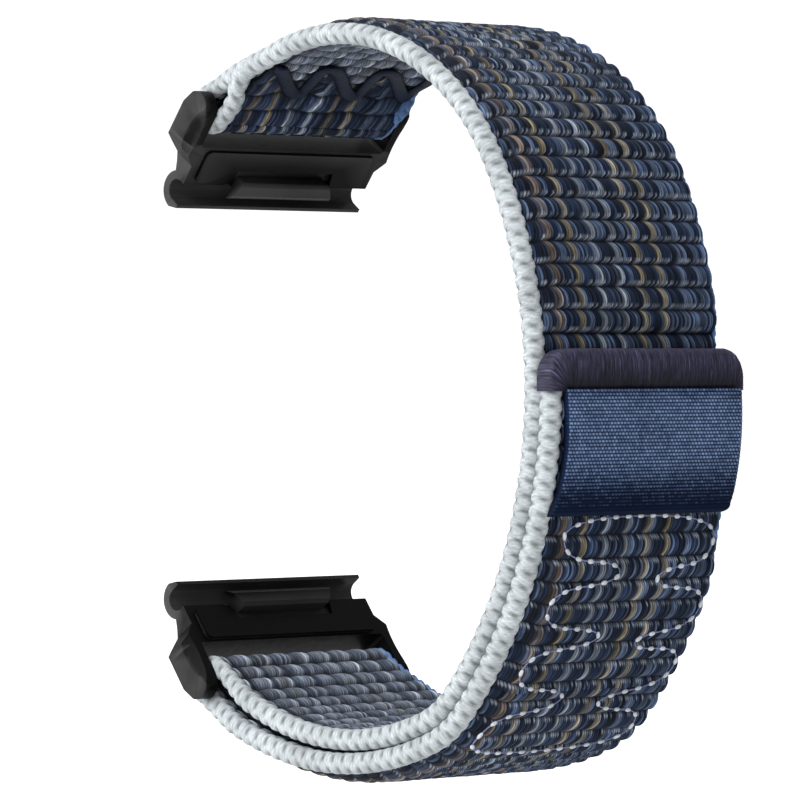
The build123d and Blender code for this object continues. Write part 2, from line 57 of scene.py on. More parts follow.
# ---------------------------------------------------------------- sizes shared with the part
HALF = 0.925                # half of one woven layer
PITCH = 1.93                # from the strap's middle to the tail's middle
FOLD_RADIUS = 1.55
FOLD_HALF = 0.8
FOLD_SCALE = 0.95           # the gathered width at a bar, against the full width
FLAP_THICKNESS = 0.9
FLAP_HALF = FLAP_THICKNESS / 2
FLAP_RISE = 20.0
FLAP_BEND_RADIUS = 5.0
FLAP_LENGTH = 5.1
UPPER_HEADING = 18.1
UPPER_STRAIGHT = 10.8
TOP_RADIUS = 23.0
TOP_SWEEP = 79.6
SIDE_RADIUS = 39.8
SIDE_SWEEP = 70.3
HEEL_RADIUS = 9.0
HEEL_SWEEP = 26.3
BOTTOM_RADIUS = 28.65
BOTTOM_SWEEP = 58.0
TIP_HEIGHT = -14.7
BINDING_LENGTH = 3.3
RIBBON_START = 3.45
RIBBON_LENGTH = 10.3
HOOK_START = 15.6
HOOK_LENGTH = 29.0

# ---------------------------------------------------------------- sizes of the looks
RIB_PITCH = 1.95            # of the woven ribs, along the strap
STRAND_PITCH = 0.26         # of the lengthwise strands, across the strap
WEAVE_NEAR = -10.25
WEAVE_FAR = 10.4
CORD_Y = -10.85             # middle of the white cord
CORD_RADIUS = 0.98
BLUE_Y = 10.55
BLUE_RADIUS = 0.46
STITCH_PITCH = 1.5          # of the beads of the tail's stitching
CLOTH_SCALE = 0.01          # of the cloth coordinates, for each millimetre


# ---------------------------------------------------------------- lines in the XZ plane
def unit(angle):
    return np.cos(np.radians(angle)), np.sin(np.radians(angle))


def straight(length):
    return length, 0.0, 0.0


def arc(radius, sweep):
    return 0.0, radius, sweep


def leg_length(run):
    return run[0] + run[1] * np.radians(abs(run[2]))


def step(x, z, heading, run, distance):
    """The place and heading after a distance along one run; a positive sweep turns clockwise."""
    if not run[1]:
        ux, uz = unit(heading)
        return x + distance * ux, z + distance * uz, heading + 0.0 * distance
    side = 1 if run[2] > 0 else -1
    cx = x + run[1] * unit(heading - 90 * side)[0]
    cz = z + run[1] * unit(heading - 90 * side)[1]
    turned = np.degrees(distance / run[1]) * side
    nx, nz = unit(heading - turned + 90 * side)
    return cx + run[1] * nx, cz + run[1] * nz, heading - turned


class Line:
    """Straight runs and tangent arcs, sampled by distance."""

    def __init__(self, start, heading, runs):
        self.start = start
        self.heading = heading
        self.runs = runs
        self.legs = []
        x, z = start
        done = 0.0
        for run in runs:
            self.legs.append((done, x, z, heading, run))
            size = leg_length(run)
            x, z, heading = step(x, z, heading, run, size)
            done += size
        self.length = done
        self.end = (x, z, heading)

    def at(self, distance):
        """Place and heading at each distance; beyond the ends the last run goes on."""
        distance = np.asarray(distance, float)
        x = np.zeros_like(distance)
        z = np.zeros_like(distance)
        heading = np.zeros_like(distance)
        for number, (begin, leg_x, leg_z, leg_heading, run) in enumerate(self.legs):
            inside = distance >= begin if number else np.ones_like(distance, bool)
            got = step(leg_x, leg_z, leg_heading, run, distance[inside] - begin)
            x[inside], z[inside], heading[inside] = got
        return x, z, heading

    def place(self, distance, across, height):
        """Points in metres at distances along, places across and heights to the left."""
        distance, across, height = np.broadcast_arrays(distance, across, height)
        x, z, heading = self.at(distance)
        nx, nz = unit(heading + 90)
        return np.stack([x + height * nx, across + 0.0 * x, z + height * nz], -1) * MM

    def backwards(self):
        runs = [(run[0], run[1], -run[2]) for run in reversed(self.runs)]
        return Line(self.end[:2], self.end[2] + 180, runs)

    def cut(self, begin, stop):
        """The part of the line between two distances."""
        runs = []
        first = None
        for start, x, z, heading, run in self.legs:
            size = leg_length(run)
            a = min(max(begin - start, 0.0), size)
            b = min(max(stop - start, 0.0), size)
            if b - a > 1e-6:
                if first is None:
                    first = step(x, z, heading, run, a)
                if run[1]:
                    runs.append(arc(run[1], np.degrees((b - a) / run[1]) * np.sign(run[2])))
                else:
                    runs.append(straight(b - a))
        return Line(first[:2], first[2], runs)


def beside(x, z, heading, offset):
    nx, nz = unit(heading + 90)
    return x + offset * nx, z + offset * nz


def joint_point(name):
    """A joint's place as (x, z) in millimetres."""
    for joint in frame["joints"]:
        if joint["name"] == name:
            return joint["pos_m"][0] / MM, joint["pos_m"][2] / MM
    raise KeyError(name)


UPPER_BAR = joint_point("upper_swivel")
LOWER_BAR = joint_point("lower_swivel")
MAIN = Line(beside(*UPPER_BAR, UPPER_HEADING, FOLD_RADIUS), UPPER_HEADING, [
    straight(UPPER_STRAIGHT),
    arc(TOP_RADIUS, TOP_SWEEP),
    arc(SIDE_RADIUS, SIDE_SWEEP),
    arc(HEEL_RADIUS, HEEL_SWEEP),
    arc(BOTTOM_RADIUS, BOTTOM_SWEEP),
])


def tail_line():
    """From the tip down beside the strap, then on one arc to the lower bar."""
    _, leg_x, leg_z, leg_heading, run = MAIN.legs[2]
    middle_x = leg_x + run[1] * unit(leg_heading - 90)[0]
    middle_z = leg_z + run[1] * unit(leg_heading - 90)[1]
    radius = SIDE_RADIUS + PITCH
    normal = np.degrees(np.arcsin((TIP_HEIGHT - middle_z) / radius))
    start = (middle_x + radius * unit(normal)[0], TIP_HEIGHT)
    heading = normal - 90
    side_end = UPPER_HEADING - TOP_SWEEP - SIDE_SWEEP
    runs = [arc(radius, heading - side_end), arc(HEEL_RADIUS + PITCH, HEEL_SWEEP)]
    x, z, end_heading = Line(start, heading, runs).end
    to_bar = (LOWER_BAR[0] - x, LOWER_BAR[1] - z)
    nx, nz = unit(end_heading + 90)
    across = to_bar[0] * nx + to_bar[1] * nz
    span = to_bar[0] ** 2 + to_bar[1] ** 2
    last_radius = (FOLD_RADIUS ** 2 - span) / (2 * (across + FOLD_RADIUS))
    cx = x + last_radius * unit(end_heading - 90)[0]
    cz = z + last_radius * unit(end_heading - 90)[1]
    touch = np.degrees(np.arctan2(LOWER_BAR[1] - cz, LOWER_BAR[0] - cx))
    sweep = (end_heading + 90 - touch) % 360
    return Line(start, heading, runs + [arc(last_radius, sweep)])


TAIL = tail_line()


def flap_line():
    """From the upper bar: a short slant, a bend, then along the inside of the strap."""
    heading = UPPER_HEADING + FLAP_RISE
    start = beside(*UPPER_BAR, heading, -FOLD_RADIUS)
    offset = -HALF - FLAP_HALF
    line_x, line_z = beside(*MAIN.start, UPPER_HEADING, offset)
    nx, nz = unit(UPPER_HEADING + 90)
    drop = (line_x - start[0]) * nx + (line_z - start[1]) * nz
    bend_rise = FLAP_BEND_RADIUS * (1 - np.cos(np.radians(FLAP_RISE)))
    slant = (drop - bend_rise) / np.sin(np.radians(FLAP_RISE))
    first = [straight(slant), arc(FLAP_BEND_RADIUS, FLAP_RISE)]
    x, z, _ = Line(start, heading, first).end
    ux, uz = unit(UPPER_HEADING)
    left = UPPER_STRAIGHT - ((x - line_x) * ux + (z - line_z) * uz)
    radius = TOP_RADIUS + offset
    last = arc(radius, np.degrees((FLAP_LENGTH - left) / radius))
    return Line(start, heading, first + [straight(left), last])


FLAP = flap_line()
UPPER_WRAP = arc(FOLD_RADIUS, FLAP.heading + 180 - UPPER_HEADING)
LOWER_WRAP = arc(FOLD_RADIUS, -((TAIL.end[2] - MAIN.end[2] - 180) % 360))
FLAP_BACK = FLAP.backwards()
# One line for the whole strap: back along the flap, round the upper bar, round the loop and
# round the lower bar
WHOLE = Line(FLAP_BACK.start, FLAP_BACK.heading,
             FLAP_BACK.runs + [UPPER_WRAP] + MAIN.runs + [LOWER_WRAP] + TAIL.backwards().cut(0, 4).runs)
UPPER_WRAP_START = FLAP.length
MAIN_START = UPPER_WRAP_START + leg_length(UPPER_WRAP)
MAIN_STOP = MAIN_START + MAIN.length
LOWER_WRAP_STOP = MAIN_STOP + leg_length(LOWER_WRAP)


# ---------------------------------------------------------------- mesh helpers
UNDERSIDE = np.array([0.004, 0.006, 0.014])


def smooth(value):
    value = np.clip(value, 0, 1)
    return value * value * (3 - 2 * value)


def make_object(name, points, faces, tint, cloth):
    """A mesh object from points in metres, with a colour and a cloth coordinate at each."""
    mesh = bpy.data.meshes.new(name)
    mesh.from_pydata(np.asarray(points, float).reshape(-1, 3).tolist(), [], faces)
    layer = mesh.color_attributes.new("tint", "FLOAT_COLOR", "POINT")
    colours = np.concatenate([tint.reshape(-1, 3), np.ones((tint.size // 3, 1))], 1)
    layer.data.foreach_set("color", colours.astype(np.float32).ravel())
    uv = mesh.uv_layers.new(name="cloth")
    corner = np.zeros(len(mesh.loops), np.int32)
    mesh.loops.foreach_get("vertex_index", corner)
    uv.data.foreach_set("uv", cloth.reshape(-1, 2)[corner].astype(np.float32).ravel())
    mesh.polygons.foreach_set("use_smooth", [True] * len(mesh.polygons))
    mesh.update()
    made = bpy.data.objects.new(name, mesh)
    bpy.context.scene.collection.objects.link(made)
    return made


def grid_faces(rows, columns, first=0, closed=False):
    """Quads of a grid of points, numbered along each row; closed joins the last column to the first."""
    row = np.arange(rows - 1)[:, None] * columns
    column = np.arange(columns if closed else columns - 1)[None, :]
    after = (column + 1) % columns
    corners = [row + column, row + after, row + columns + after, row + columns + column]
    return (np.stack([c + 0 * column for c in corners], -1).reshape(-1, 4) + first).tolist()


def tube_faces(rows, around, first=0):
    """Faces of a closed tube: quads between its rings, and both ends."""
    last = first + (rows - 1) * around
    ends = [list(range(first, first + around)), list(range(last, last + around))]
    return grid_faces(rows, around, first, closed=True) + ends


def slab(name, top, bottom_near, bottom_far, tint, cloth):
    """A closed layer: a fine upper face, a plain lower face one quad wide, sides and ends."""
    rows, columns = top.shape[:2]
    count = rows * columns
    points = np.concatenate([top.reshape(-1, 3), bottom_near, bottom_far])
    near = count + np.arange(rows)
    far = count + rows + np.arange(rows)
    left = np.arange(rows) * columns
    right = left + columns - 1
    faces = grid_faces(rows, columns)
    below = np.stack([near[:-1], near[1:], far[1:], far[:-1]], -1).tolist()
    side_near = np.stack([left[:-1], left[1:], near[1:], near[:-1]], -1).tolist()
    side_far = np.stack([right[1:], right[:-1], far[:-1], far[1:]], -1).tolist()
    first = list(range(columns - 1, -1, -1)) + [int(near[0]), int(far[0])]
    last = list(range(count - columns, count)) + [int(far[-1]), int(near[-1])]
    tints = np.concatenate([tint.reshape(-1, 3), np.tile(UNDERSIDE, (2 * rows, 1))])
    lower_cloth = np.concatenate([cloth[:, 0], cloth[:, -1]])
    cloths = np.concatenate([cloth.reshape(-1, 2), lower_cloth])
    return make_object(name, points, faces + below + side_near + side_far + [first, last], tints, cloths)


def facing_out(piece):
    """Turns every face of a closed mesh outwards."""
    bpy.context.view_layer.objects.active = piece
    piece.select_set(True)
    bpy.ops.object.mode_set(mode="EDIT")
    bpy.ops.mesh.select_all(action="SELECT")
    bpy.ops.mesh.normals_make_consistent(inside=False)
    bpy.ops.object.mode_set(mode="OBJECT")
    piece.select_set(False)
    return piece


# ---------------------------------------------------------------- woven faces
NAVY = np.array([0.0080, 0.0150, 0.0340])
SHADOW = np.array([0.002, 0.003, 0.008])
GLINT = np.array([0.075, 0.105, 0.165])
# Colour of the painted highlight dashes, where the strands curve down into the groove at a rib's end
PAINTED_HIGHLIGHT_DASH = np.array([0.36, 0.41, 0.50])
# place across the strap, half width, colour of each group of bright strands
COLUMNS = [
    (-8.7, 0.36, (0.150, 0.118, 0.098)),
    (-6.15, 0.34, (0.225, 0.190, 0.120)),
    (-3.45, 0.36, (0.190, 0.215, 0.255)),
    (-1.0, 0.36, (0.200, 0.225, 0.265)),
    (1.55, 0.36, (0.230, 0.195, 0.135)),
    (4.0, 0.36, (0.235, 0.205, 0.145)),
    (6.6, 0.40, (0.070, 0.095, 0.150)),
    (8.6, 0.40, (0.062, 0.090, 0.150)),
]
COLUMN_PITCH = 2.52         # of the coloured groups of strands
DOME_SHIFT = 0.35           # the groups lie near the far side of each dome
INNER_HAZE = np.array([0.165, 0.195, 0.250])
INNER_SHINE = np.array([0.66, 0.70, 0.74])
ROYAL_BLUE = np.array([0.012, 0.040, 0.240])
LEAN = 0.45                 # how far the strands swing across the strap on each rib
RIB_SHARPNESS = 2.6         # a higher number gives flatter ribs and narrower grooves
DOME_SHARPNESS = 2.5
STRAND_HEIGHT = 0.10        # of a strand above the groove beside it
UNEVENNESS = 0.018          # of the strands' heights
EDGE_RISE = 12              # one over the share of the width in which an edge rises
TONE_LIMIT = 1.7            # of a strand's random brightness
GLINT_SHARE = 0.26          # of the strands that have a glint
HIGHLIGHT_DASH_SHARE = 0.6            # of the strands that have a painted highlight dash
HIGHLIGHT_DASH_PLACE = 0.88           # along each rib
HIGHLIGHT_DASH_LENGTH = 0.07

# Across the weave there are three points on each strand, and one at the far edge
WEAVE_WIDTH = WEAVE_FAR - WEAVE_NEAR
STRANDS = int(round(WEAVE_WIDTH / STRAND_PITCH))
STRAND_POINTS = np.array([-0.5, -0.22, 0.22])
SHARE = np.append((np.arange(STRANDS)[:, None] + 0.5 + STRAND_POINTS).ravel(), STRANDS) / STRANDS
ACROSS = WEAVE_NEAR + WEAVE_WIDTH * SHARE
MIDDLES = WEAVE_NEAR + WEAVE_WIDTH * (np.arange(STRANDS) + 0.5) / STRANDS
STRAND = np.append(np.repeat(np.arange(STRANDS), 3), STRANDS - 1)
CROWN = np.append(np.tile([0.0, 1.0, 1.0], STRANDS), 0.0)     # 0 in the grooves between strands
INSIDE = smooth(np.minimum(SHARE, 1 - SHARE) * EDGE_RISE)     # 0 at both edges


def strand_colours(bright):
    """Base colour of each strand; bright scales the coloured groups."""
    made = np.tile(NAVY, (STRANDS, 1)) * RANDOM.uniform(0.6, 1.7, (STRANDS, 1))
    for middle, half, colour in COLUMNS:
        share = np.clip(1.25 - np.abs(MIDDLES - middle) / half, 0, 1)[:, None] * bright
        made = made * (1 - share) + np.array(colour) * share
    return made


def rib_profile(t):
    """Height of a rib, from 0 in a groove to 1, for t from one groove to the next."""
    return 1 - np.abs(2 * t - 1) ** RIB_SHARPNESS


def darkened(tint, light):
    """The tint where light is 1 and the shadow colour where it is 0."""
    return tint * light[..., None] + SHADOW * (1 - light[..., None])


def rows_along(begin, stop, rows_per_rib):
    """Distances of the rows of points, the same on every whole rib."""
    phase = np.linspace(0, 1, rows_per_rib, endpoint=False)
    ribs = np.arange(int(np.floor(begin / RIB_PITCH)), int(np.ceil(stop / RIB_PITCH)))
    distance = (ribs[:, None] + phase[None, :]).ravel() * RIB_PITCH
    return np.concatenate([[begin], distance[(distance > begin) & (distance < stop)], [stop]])


def woven_face(name, line, begin, stop, width, base, crest, flip, rib_height=0.44, rows_per_rib=8,
               domes=False, bright=1.0, plain_blue=None, fullness=None):
    """One face of the weave as a closed layer.

    width, base and crest are functions of distance.  flip puts the painted highlight dashes near
    the strands' ends on the other side of each rib.  domes makes rounded bumps in place of ribs.  Past
    the distance plain_blue the strands are plain royal blue.  fullness is how far the middle of
    the weave stands above its near edge."""
    distance = rows_along(begin, stop, rows_per_rib)
    t = (distance / RIB_PITCH) % 1.0
    rib = np.floor(distance / RIB_PITCH).astype(int)
    rib = rib - rib.min()
    cells = (rib.max() + 1, STRANDS)

    def spread(values):
        """One value for each strand of each rib, given to that strand's points."""
        return values[rib][:, STRAND]

    side = 1 - t if flip else t
    swing = (np.sin(np.pi * 0.72 * side) - 0.45)[:, None]
    relief = np.repeat(rib_profile(t)[:, None], len(SHARE), 1)
    in_cell = 2 * (((ACROSS - COLUMNS[0][0]) / COLUMN_PITCH + DOME_SHIFT) % 1.0) - 1
    if domes:
        relief = relief * (1 - 0.9 * np.abs(in_cell) ** DOME_SHARPNESS)
        swing = (1 - (2 * t - 1) ** 2)[:, None] * (0.5 + 0.5 * in_cell)
    y = width(distance)[:, None] * ACROSS + LEAN * swing * INSIDE
    wobble = RANDOM.normal(0, 1, cells)
    height = crest(distance)[:, None] - rib_height * (1 - relief)
    if fullness is not None:
        height = height + fullness(distance)[:, None] * smooth(SHARE * EDGE_RISE)
    height = height - STRAND_HEIGHT * (1 - CROWN) * (0.35 + 0.65 * relief)
    height = height + UNEVENNESS * spread(wobble) * CROWN * relief
    colour = strand_colours(bright)
    tone = np.minimum(np.exp(RANDOM.normal(0, 0.5, cells)), TONE_LIMIT)
    tint = colour[STRAND] * spread(tone)[..., None]
    glint = (RANDOM.random(cells) < GLINT_SHARE) * RANDOM.uniform(0.3, 1.0, cells)
    tint = tint + GLINT * (spread(glint) * smooth(relief * 1.2))[..., None]
    if domes:
        # Grey-blue haze over the domes, fading to painted shade in the crevices between them
        haze_in_painted_shade = INNER_HAZE * (0.08 + 0.92 * relief[..., None] ** 1.5)
        tint = tint * 0.6 + haze_in_painted_shade * spread(RANDOM.uniform(0.5, 1.5, cells))[..., None]
        shiny = smooth((in_cell - 0.05) / 0.25) * (1 - smooth((in_cell - 0.72) / 0.2))
        picked = RANDOM.uniform(0.1, 1.0, cells) ** 1.6
        tint = tint + INNER_SHINE * (shiny * spread(picked) * relief)[..., None]
    else:
        # Painted light and shade across each coloured cell: darker on its near side, lighter towards its
        # far side, with a dark line at its far edge
        rising = smooth((in_cell + 1.0) / 1.5)
        cell_painted_shade_line = 1 - 0.85 * smooth((in_cell - 0.80) / 0.12)
        tint = tint * (0.60 + 0.90 * rising * cell_painted_shade_line)[:, None]
    # Painted highlight: a bright dash near one end of each rib on some strands, weaker on the domes
    highlight_dash = np.exp(-((side - HIGHLIGHT_DASH_PLACE) / HIGHLIGHT_DASH_LENGTH) ** 2)[:, None] * CROWN
    highlight_dash_on = RANDOM.uniform(0.15, 1.0, cells) * (RANDOM.random(cells) < HIGHLIGHT_DASH_SHARE)
    highlight_dash = (highlight_dash * spread(highlight_dash_on) * (0.35 if domes else 1.0))[..., None]
    tint = tint * (1 - highlight_dash) + PAINTED_HIGHLIGHT_DASH * highlight_dash
    tint = darkened(tint, (0.12 + 0.88 * smooth(relief * 1.6)) * (0.30 + 0.70 * CROWN))
    if plain_blue is not None:
        tucked = smooth((distance - plain_blue) / 0.5)[:, None, None]
        # Painted shade: the plain royal blue is darker in the grooves between strands
        tint = tint * (1 - tucked) + ROYAL_BLUE * (0.4 + 0.6 * CROWN[:, None]) * tucked
    low = base(distance)
    bottom_near = line.place(distance, y[:, 0], low)
    bottom_far = line.place(distance, y[:, -1], low)
    top = line.place(distance[:, None], y, height)
    cloth = np.stack(np.broadcast_arrays(ACROSS[None, :], distance[:, None]), -1)
    return slab(name, top, bottom_near, bottom_far, tint, cloth * CLOTH_SCALE)


def constant(value):
    return lambda distance: value + 0.0 * np.asarray(distance, float)


# ---------------------------------------------------------------- braided cords
BRAID_SEATS = 4             # rows of lumps round a cord
SEAT_TURN = 0.42            # turns the rows round the cord, in seats
SEAT_WIDTH = 0.82           # of a lump, in seats
SLANT = 0.55
THREAD_DEPTH = 0.03
END_ROUNDING = 0.8          # length of the rounded ends, in radii
WHITE_BRAID = {"lump": 1.30, "fine": 0.36, "colour": (0.43, 0.465, 0.485)}
BLUE_EDGING = {"lump": 0.92, "fine": 0.3, "colour": (0.115, 0.215, 0.43), "flat": 1.7, "around": 14,
               "per_lump": 8, "lump_depth": 0.35}


def cord_tube(name, line, begin, stop, middle, width, height, radius, lump, fine, colour, flat=1.0,
              around=24, per_lump=12, lump_depth=0.20, ends=True):
    """A braid: rows of slanted lumps round the cord, with fine threads over them.

    lump and fine are the lengths of a lump and of a thread.  flat stretches the cord upwards."""
    count = max(int((stop - begin) / lump * per_lump), 8)
    distance = np.linspace(begin, stop, count)
    angle = np.linspace(0, 2 * np.pi, around, endpoint=False)
    s, a = np.meshgrid(distance, angle, indexing="ij")
    size = radius(s)
    wave = np.zeros_like(s)
    threads = np.zeros_like(s)
    for seat in range(BRAID_SEATS):
        part = 0.5 * (seat % 2)
        away = (a - 2 * np.pi * (seat + SEAT_TURN) / BRAID_SEATS + np.pi) % (2 * np.pi) - np.pi
        slant = (SLANT if seat % 2 else -SLANT) * away / np.pi * BRAID_SEATS / 2
        along = ((s / lump + part + slant * 0.5) % 1.0) * 2 - 1
        round_off = np.clip(1.25 - (away * BRAID_SEATS / (2 * np.pi) / SEAT_WIDTH) ** 2, 0, 1)
        bump = (1 - np.abs(along) ** 2.1) * round_off
        twist = 0.5 + 0.5 * np.cos(2 * np.pi * (s / fine + slant * 2.2))
        threads = np.where(bump > wave, twist, threads)
        wave = np.maximum(wave, bump)
    swell = 1 - lump_depth * (1 - wave) - THREAD_DEPTH * (1 - threads)
    taper = np.ones_like(s)
    if ends:
        edge = np.minimum(s - begin, stop - s) / (END_ROUNDING * size)
        taper = np.sqrt(np.clip(1 - (1 - np.clip(edge, 0.02, 1)) ** 2, 0.0, 1))
    r = size * swell * taper
    y = middle * width(s) + r * np.cos(a)
    h = height(s) + r * np.sin(a) * flat
    points = line.place(s, y, h)
    shade = (0.42 + 0.78 * smooth(wave * 1.1)) * (0.84 + 0.16 * threads)
    tint = np.array(colour)[None, None, :] * shade[..., None]
    tint = tint * np.exp(RANDOM.normal(0, 0.07, shade.shape))[..., None]
    cloth = np.stack([a * 0.3, s], -1) * CLOTH_SCALE
    return facing_out(make_object(name, points, tube_faces(count, around), tint, cloth))


def gather(distance):
    """How much the whole strap's width is drawn in, near the two bars."""
    distance = np.asarray(distance, float)
    first = (UPPER_WRAP_START + MAIN_START) / 2
    last = (MAIN_STOP + LOWER_WRAP_STOP) / 2
    away = np.minimum(np.abs(distance - first), np.abs(distance - last))
    return FOLD_SCALE + (1 - FOLD_SCALE) * smooth((away - 3.4) / 4.5)


def tail_gather(distance):
    away = TAIL.length - np.asarray(distance, float)
    return FOLD_SCALE + (1 - FOLD_SCALE) * smooth((away - 1.0) / 4.5)


def crest_of_whole(distance):
    """The outer face of the whole strap: flap, fold, strap and fold again."""
    distance = np.asarray(distance, float)
    on = smooth((distance - MAIN_START) / 3.0)
    off = smooth((distance - MAIN_STOP + 3.0) / 3.0)
    return FOLD_HALF + (HALF - FOLD_HALF) * (on - off)


def floor_of_whole(distance):
    distance = np.asarray(distance, float)
    return -0.04 - 0.66 * (1 - smooth((distance - MAIN_START) / 2.0))


# ---------------------------------------------------------------- materials
def new_material(name, colour, roughness=0.6, metallic=0.0, specular=0.5, sheen=0.0):
    material = bpy.data.materials.new(name)
    material.use_nodes = True
    shader = material.node_tree.nodes["Principled BSDF"]
    shader.inputs["Base Color"].default_value = (*colour, 1)
    shader.inputs["Roughness"].default_value = roughness
    shader.inputs["Metallic"].default_value = metallic
    shader.inputs["Specular IOR Level"].default_value = specular
    shader.inputs["Sheen Weight"].default_value = sheen
    shader.inputs["Sheen Roughness"].default_value = 0.5
    return material, material.node_tree, shader


def add(tree, kind, **values):
    node = tree.nodes.new(kind)
    for key, value in values.items():
        setattr(node, key, value)
    return node


def noise(tree, source, scale, detail=2.0, roughness=0.5):
    node = add(tree, "ShaderNodeTexNoise")
    tree.links.new(source, node.inputs["Vector"])
    node.inputs["Scale"].default_value = scale
    node.inputs["Detail"].default_value = detail
    node.inputs["Roughness"].default_value = roughness
    return node.outputs["Fac"]


def between(tree, value, low, high, out_low=0.0, out_high=1.0):
    node = add(tree, "ShaderNodeMapRange")
    tree.links.new(value, node.inputs["Value"])
    node.inputs["From Min"].default_value = low
    node.inputs["From Max"].default_value = high
    node.inputs["To Min"].default_value = out_low
    node.inputs["To Max"].default_value = out_high
    return node.outputs["Result"]


def scaled_colour(tree, colour, factor):
    """A colour socket times a value socket."""
    node = add(tree, "ShaderNodeVectorMath", operation="SCALE")
    tree.links.new(colour, node.inputs[0])
    tree.links.new(factor, node.inputs["Scale"])
    return node.outputs["Vector"]


def stretched(tree, source, x, y, z):
    node = add(tree, "ShaderNodeMapping")
    tree.links.new(source, node.inputs["Vector"])
    node.inputs["Scale"].default_value = (x, y, z)
    return node.outputs["Vector"]


def relief(tree, shader, height, distance, strength=1.0):
    node = add(tree, "ShaderNodeBump")
    tree.links.new(height, node.inputs["Height"])
    node.inputs["Distance"].default_value = distance
    node.inputs["Strength"].default_value = strength
    tree.links.new(node.outputs["Normal"], shader.inputs["Normal"])


FILAMENT_DEPTH = 0.00006    # metres
GRAIN_DEPTH = 0.00001
GRAIN_SCALE = 1500.0
EDGE_HIGHLIGHT = 0.05               # how much lighter the black's edges are painted, as a highlight


def yarn_material(name, along, across, roughness, sheen, contrast, specular=0.4):
    """Yarn that takes its colour from the mesh, with fine filaments and slow colour variation.

    along and across are the filaments' fineness per millimetre of cloth."""
    material, tree, shader = new_material(name, (0.5, 0.5, 0.5), roughness, 0.0, specular, sheen)
    tint = add(tree, "ShaderNodeAttribute", attribute_name="tint")
    cloth = add(tree, "ShaderNodeUVMap", uv_map="cloth")
    threads = stretched(tree, cloth.outputs["UV"], across / CLOTH_SCALE, along / CLOTH_SCALE, 1)
    filament = noise(tree, threads, 1.0, 3.0, 0.6)
    place = add(tree, "ShaderNodeTexCoord").outputs["Object"]
    slow = noise(tree, place, 260.0, 2.0, 0.5)
    fine = between(tree, filament, 0.30, 0.70, 1 - contrast, 1 + contrast)
    broad = between(tree, slow, 0.3, 0.7, 0.85, 1.15)
    both = add(tree, "ShaderNodeMath", operation="MULTIPLY")
    tree.links.new(fine, both.inputs[0])
    tree.links.new(broad, both.inputs[1])
    colour = scaled_colour(tree, tint.outputs["Color"], both.outputs["Value"])
    tree.links.new(colour, shader.inputs["Base Color"])
    rough = between(tree, filament, 0.3, 0.7, roughness - 0.08, roughness + 0.12)
    tree.links.new(rough, shader.inputs["Roughness"])
    relief(tree, shader, filament, FILAMENT_DEPTH, 0.6)
    return material


def black_material(name, colour, roughness):
    """Satin black with a fine grain and edges painted a little lighter as a highlight."""
    material, tree, shader = new_material(name, colour, roughness, 0.0, 0.09)
    place = add(tree, "ShaderNodeTexCoord").outputs["Object"]
    fine = noise(tree, place, GRAIN_SCALE, 3.0, 0.6)
    broad = noise(tree, place, 120.0, 2.0, 0.5)
    geometry = add(tree, "ShaderNodeNewGeometry")
    # Painted highlight on the sharper edges, found by pointiness
    edge = between(tree, geometry.outputs["Pointiness"], 0.52, 0.62, 0.0, 1.0)
    mix = add(tree, "ShaderNodeMix", data_type="RGBA")
    mix.inputs["A"].default_value = (*colour, 1)
    mix.inputs["B"].default_value = (*[c + EDGE_HIGHLIGHT for c in colour], 1)
    tree.links.new(edge, mix.inputs["Factor"])
    shade = between(tree, broad, 0.3, 0.7, 0.85, 1.2)
    tree.links.new(scaled_colour(tree, mix.outputs["Result"], shade), shader.inputs["Base Color"])
    rough = between(tree, fine, 0.3, 0.7, roughness - 0.05, roughness + 0.1)
    tree.links.new(rough, shader.inputs["Roughness"])
    relief(tree, shader, fine, GRAIN_DEPTH, 0.5)
    return material


MATERIALS = {
    "navy_weave": yarn_material("navy_weave", 0.6, 5.0, 0.62, 0.0, contrast=0.7, specular=0.15),
    "inner_weave": yarn_material("inner_weave", 0.7, 5.0, 0.62, 0.0, contrast=0.6, specular=0.2),
    "white_cord": yarn_material("white_cord", 4.0, 4.0, 0.8, 0.1, contrast=0.22, specular=0.2),
    "blue_edge": yarn_material("blue_edge", 1.2, 5.0, 0.6, 0.0, contrast=0.4, specular=0.2),
    "seam_weld": yarn_material("seam_weld", 0.8, 8.0, 0.5, 0.0, contrast=0.3, specular=0.15),
    "hook_nylon": yarn_material("hook_nylon", 2.0, 2.0, 0.45, 0.0, contrast=0.15),
    "purple_binding": yarn_material("purple_binding", 1.2, 9.0, 0.55, 0.0, contrast=0.55, specular=0.25),
    "navy_ribbon": yarn_material("navy_ribbon", 4.0, 6.0, 0.6, 0.0, contrast=0.2, specular=0.08),
    "black_frame": black_material("black_frame", (0.0026, 0.0026, 0.0028), 0.36),
    "black_cover": black_material("black_cover", (0.0024, 0.0024, 0.0026), 0.34),
    "black_latch": black_material("black_latch", (0.0022, 0.0022, 0.0024), 0.32),
    "steel_pins": new_material("steel_pins", (0.10, 0.10, 0.105), 0.35, 1.0)[0],
    "spring_steel": new_material("spring_steel", (0.45, 0.45, 0.46), 0.30, 1.0)[0],
}


def finish_piece(piece, slot_name, *nodes):
    piece.data.materials.clear()
    piece.data.materials.append(MATERIALS[slot_name])
    if nodes:
        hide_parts(*nodes)
    return piece


# ---------------------------------------------------------------- the strap
STRAP_FULLNESS = 0.60       # how far the weave's outer face stands above its edges
TAIL_FULLNESS = 0.90
BLUE_LIFT = 0.6             # share of the fullness by which the blue edge rises


def covered_from():
    """How far along the whole strap the tail's bound end lies over it."""
    along = np.linspace(MAIN_START, MAIN_STOP, 2500)
    points = WHOLE.place(along, 0.0 * along, 0.0 * along)
    tip = TAIL.place(np.array([0.0]), 0.0, 0.0)[0]
    return along[np.argmin(np.linalg.norm(points - tip, axis=1))]


COVERED_FROM = covered_from()
STRAP_STOP = LOWER_WRAP_STOP + 1.0


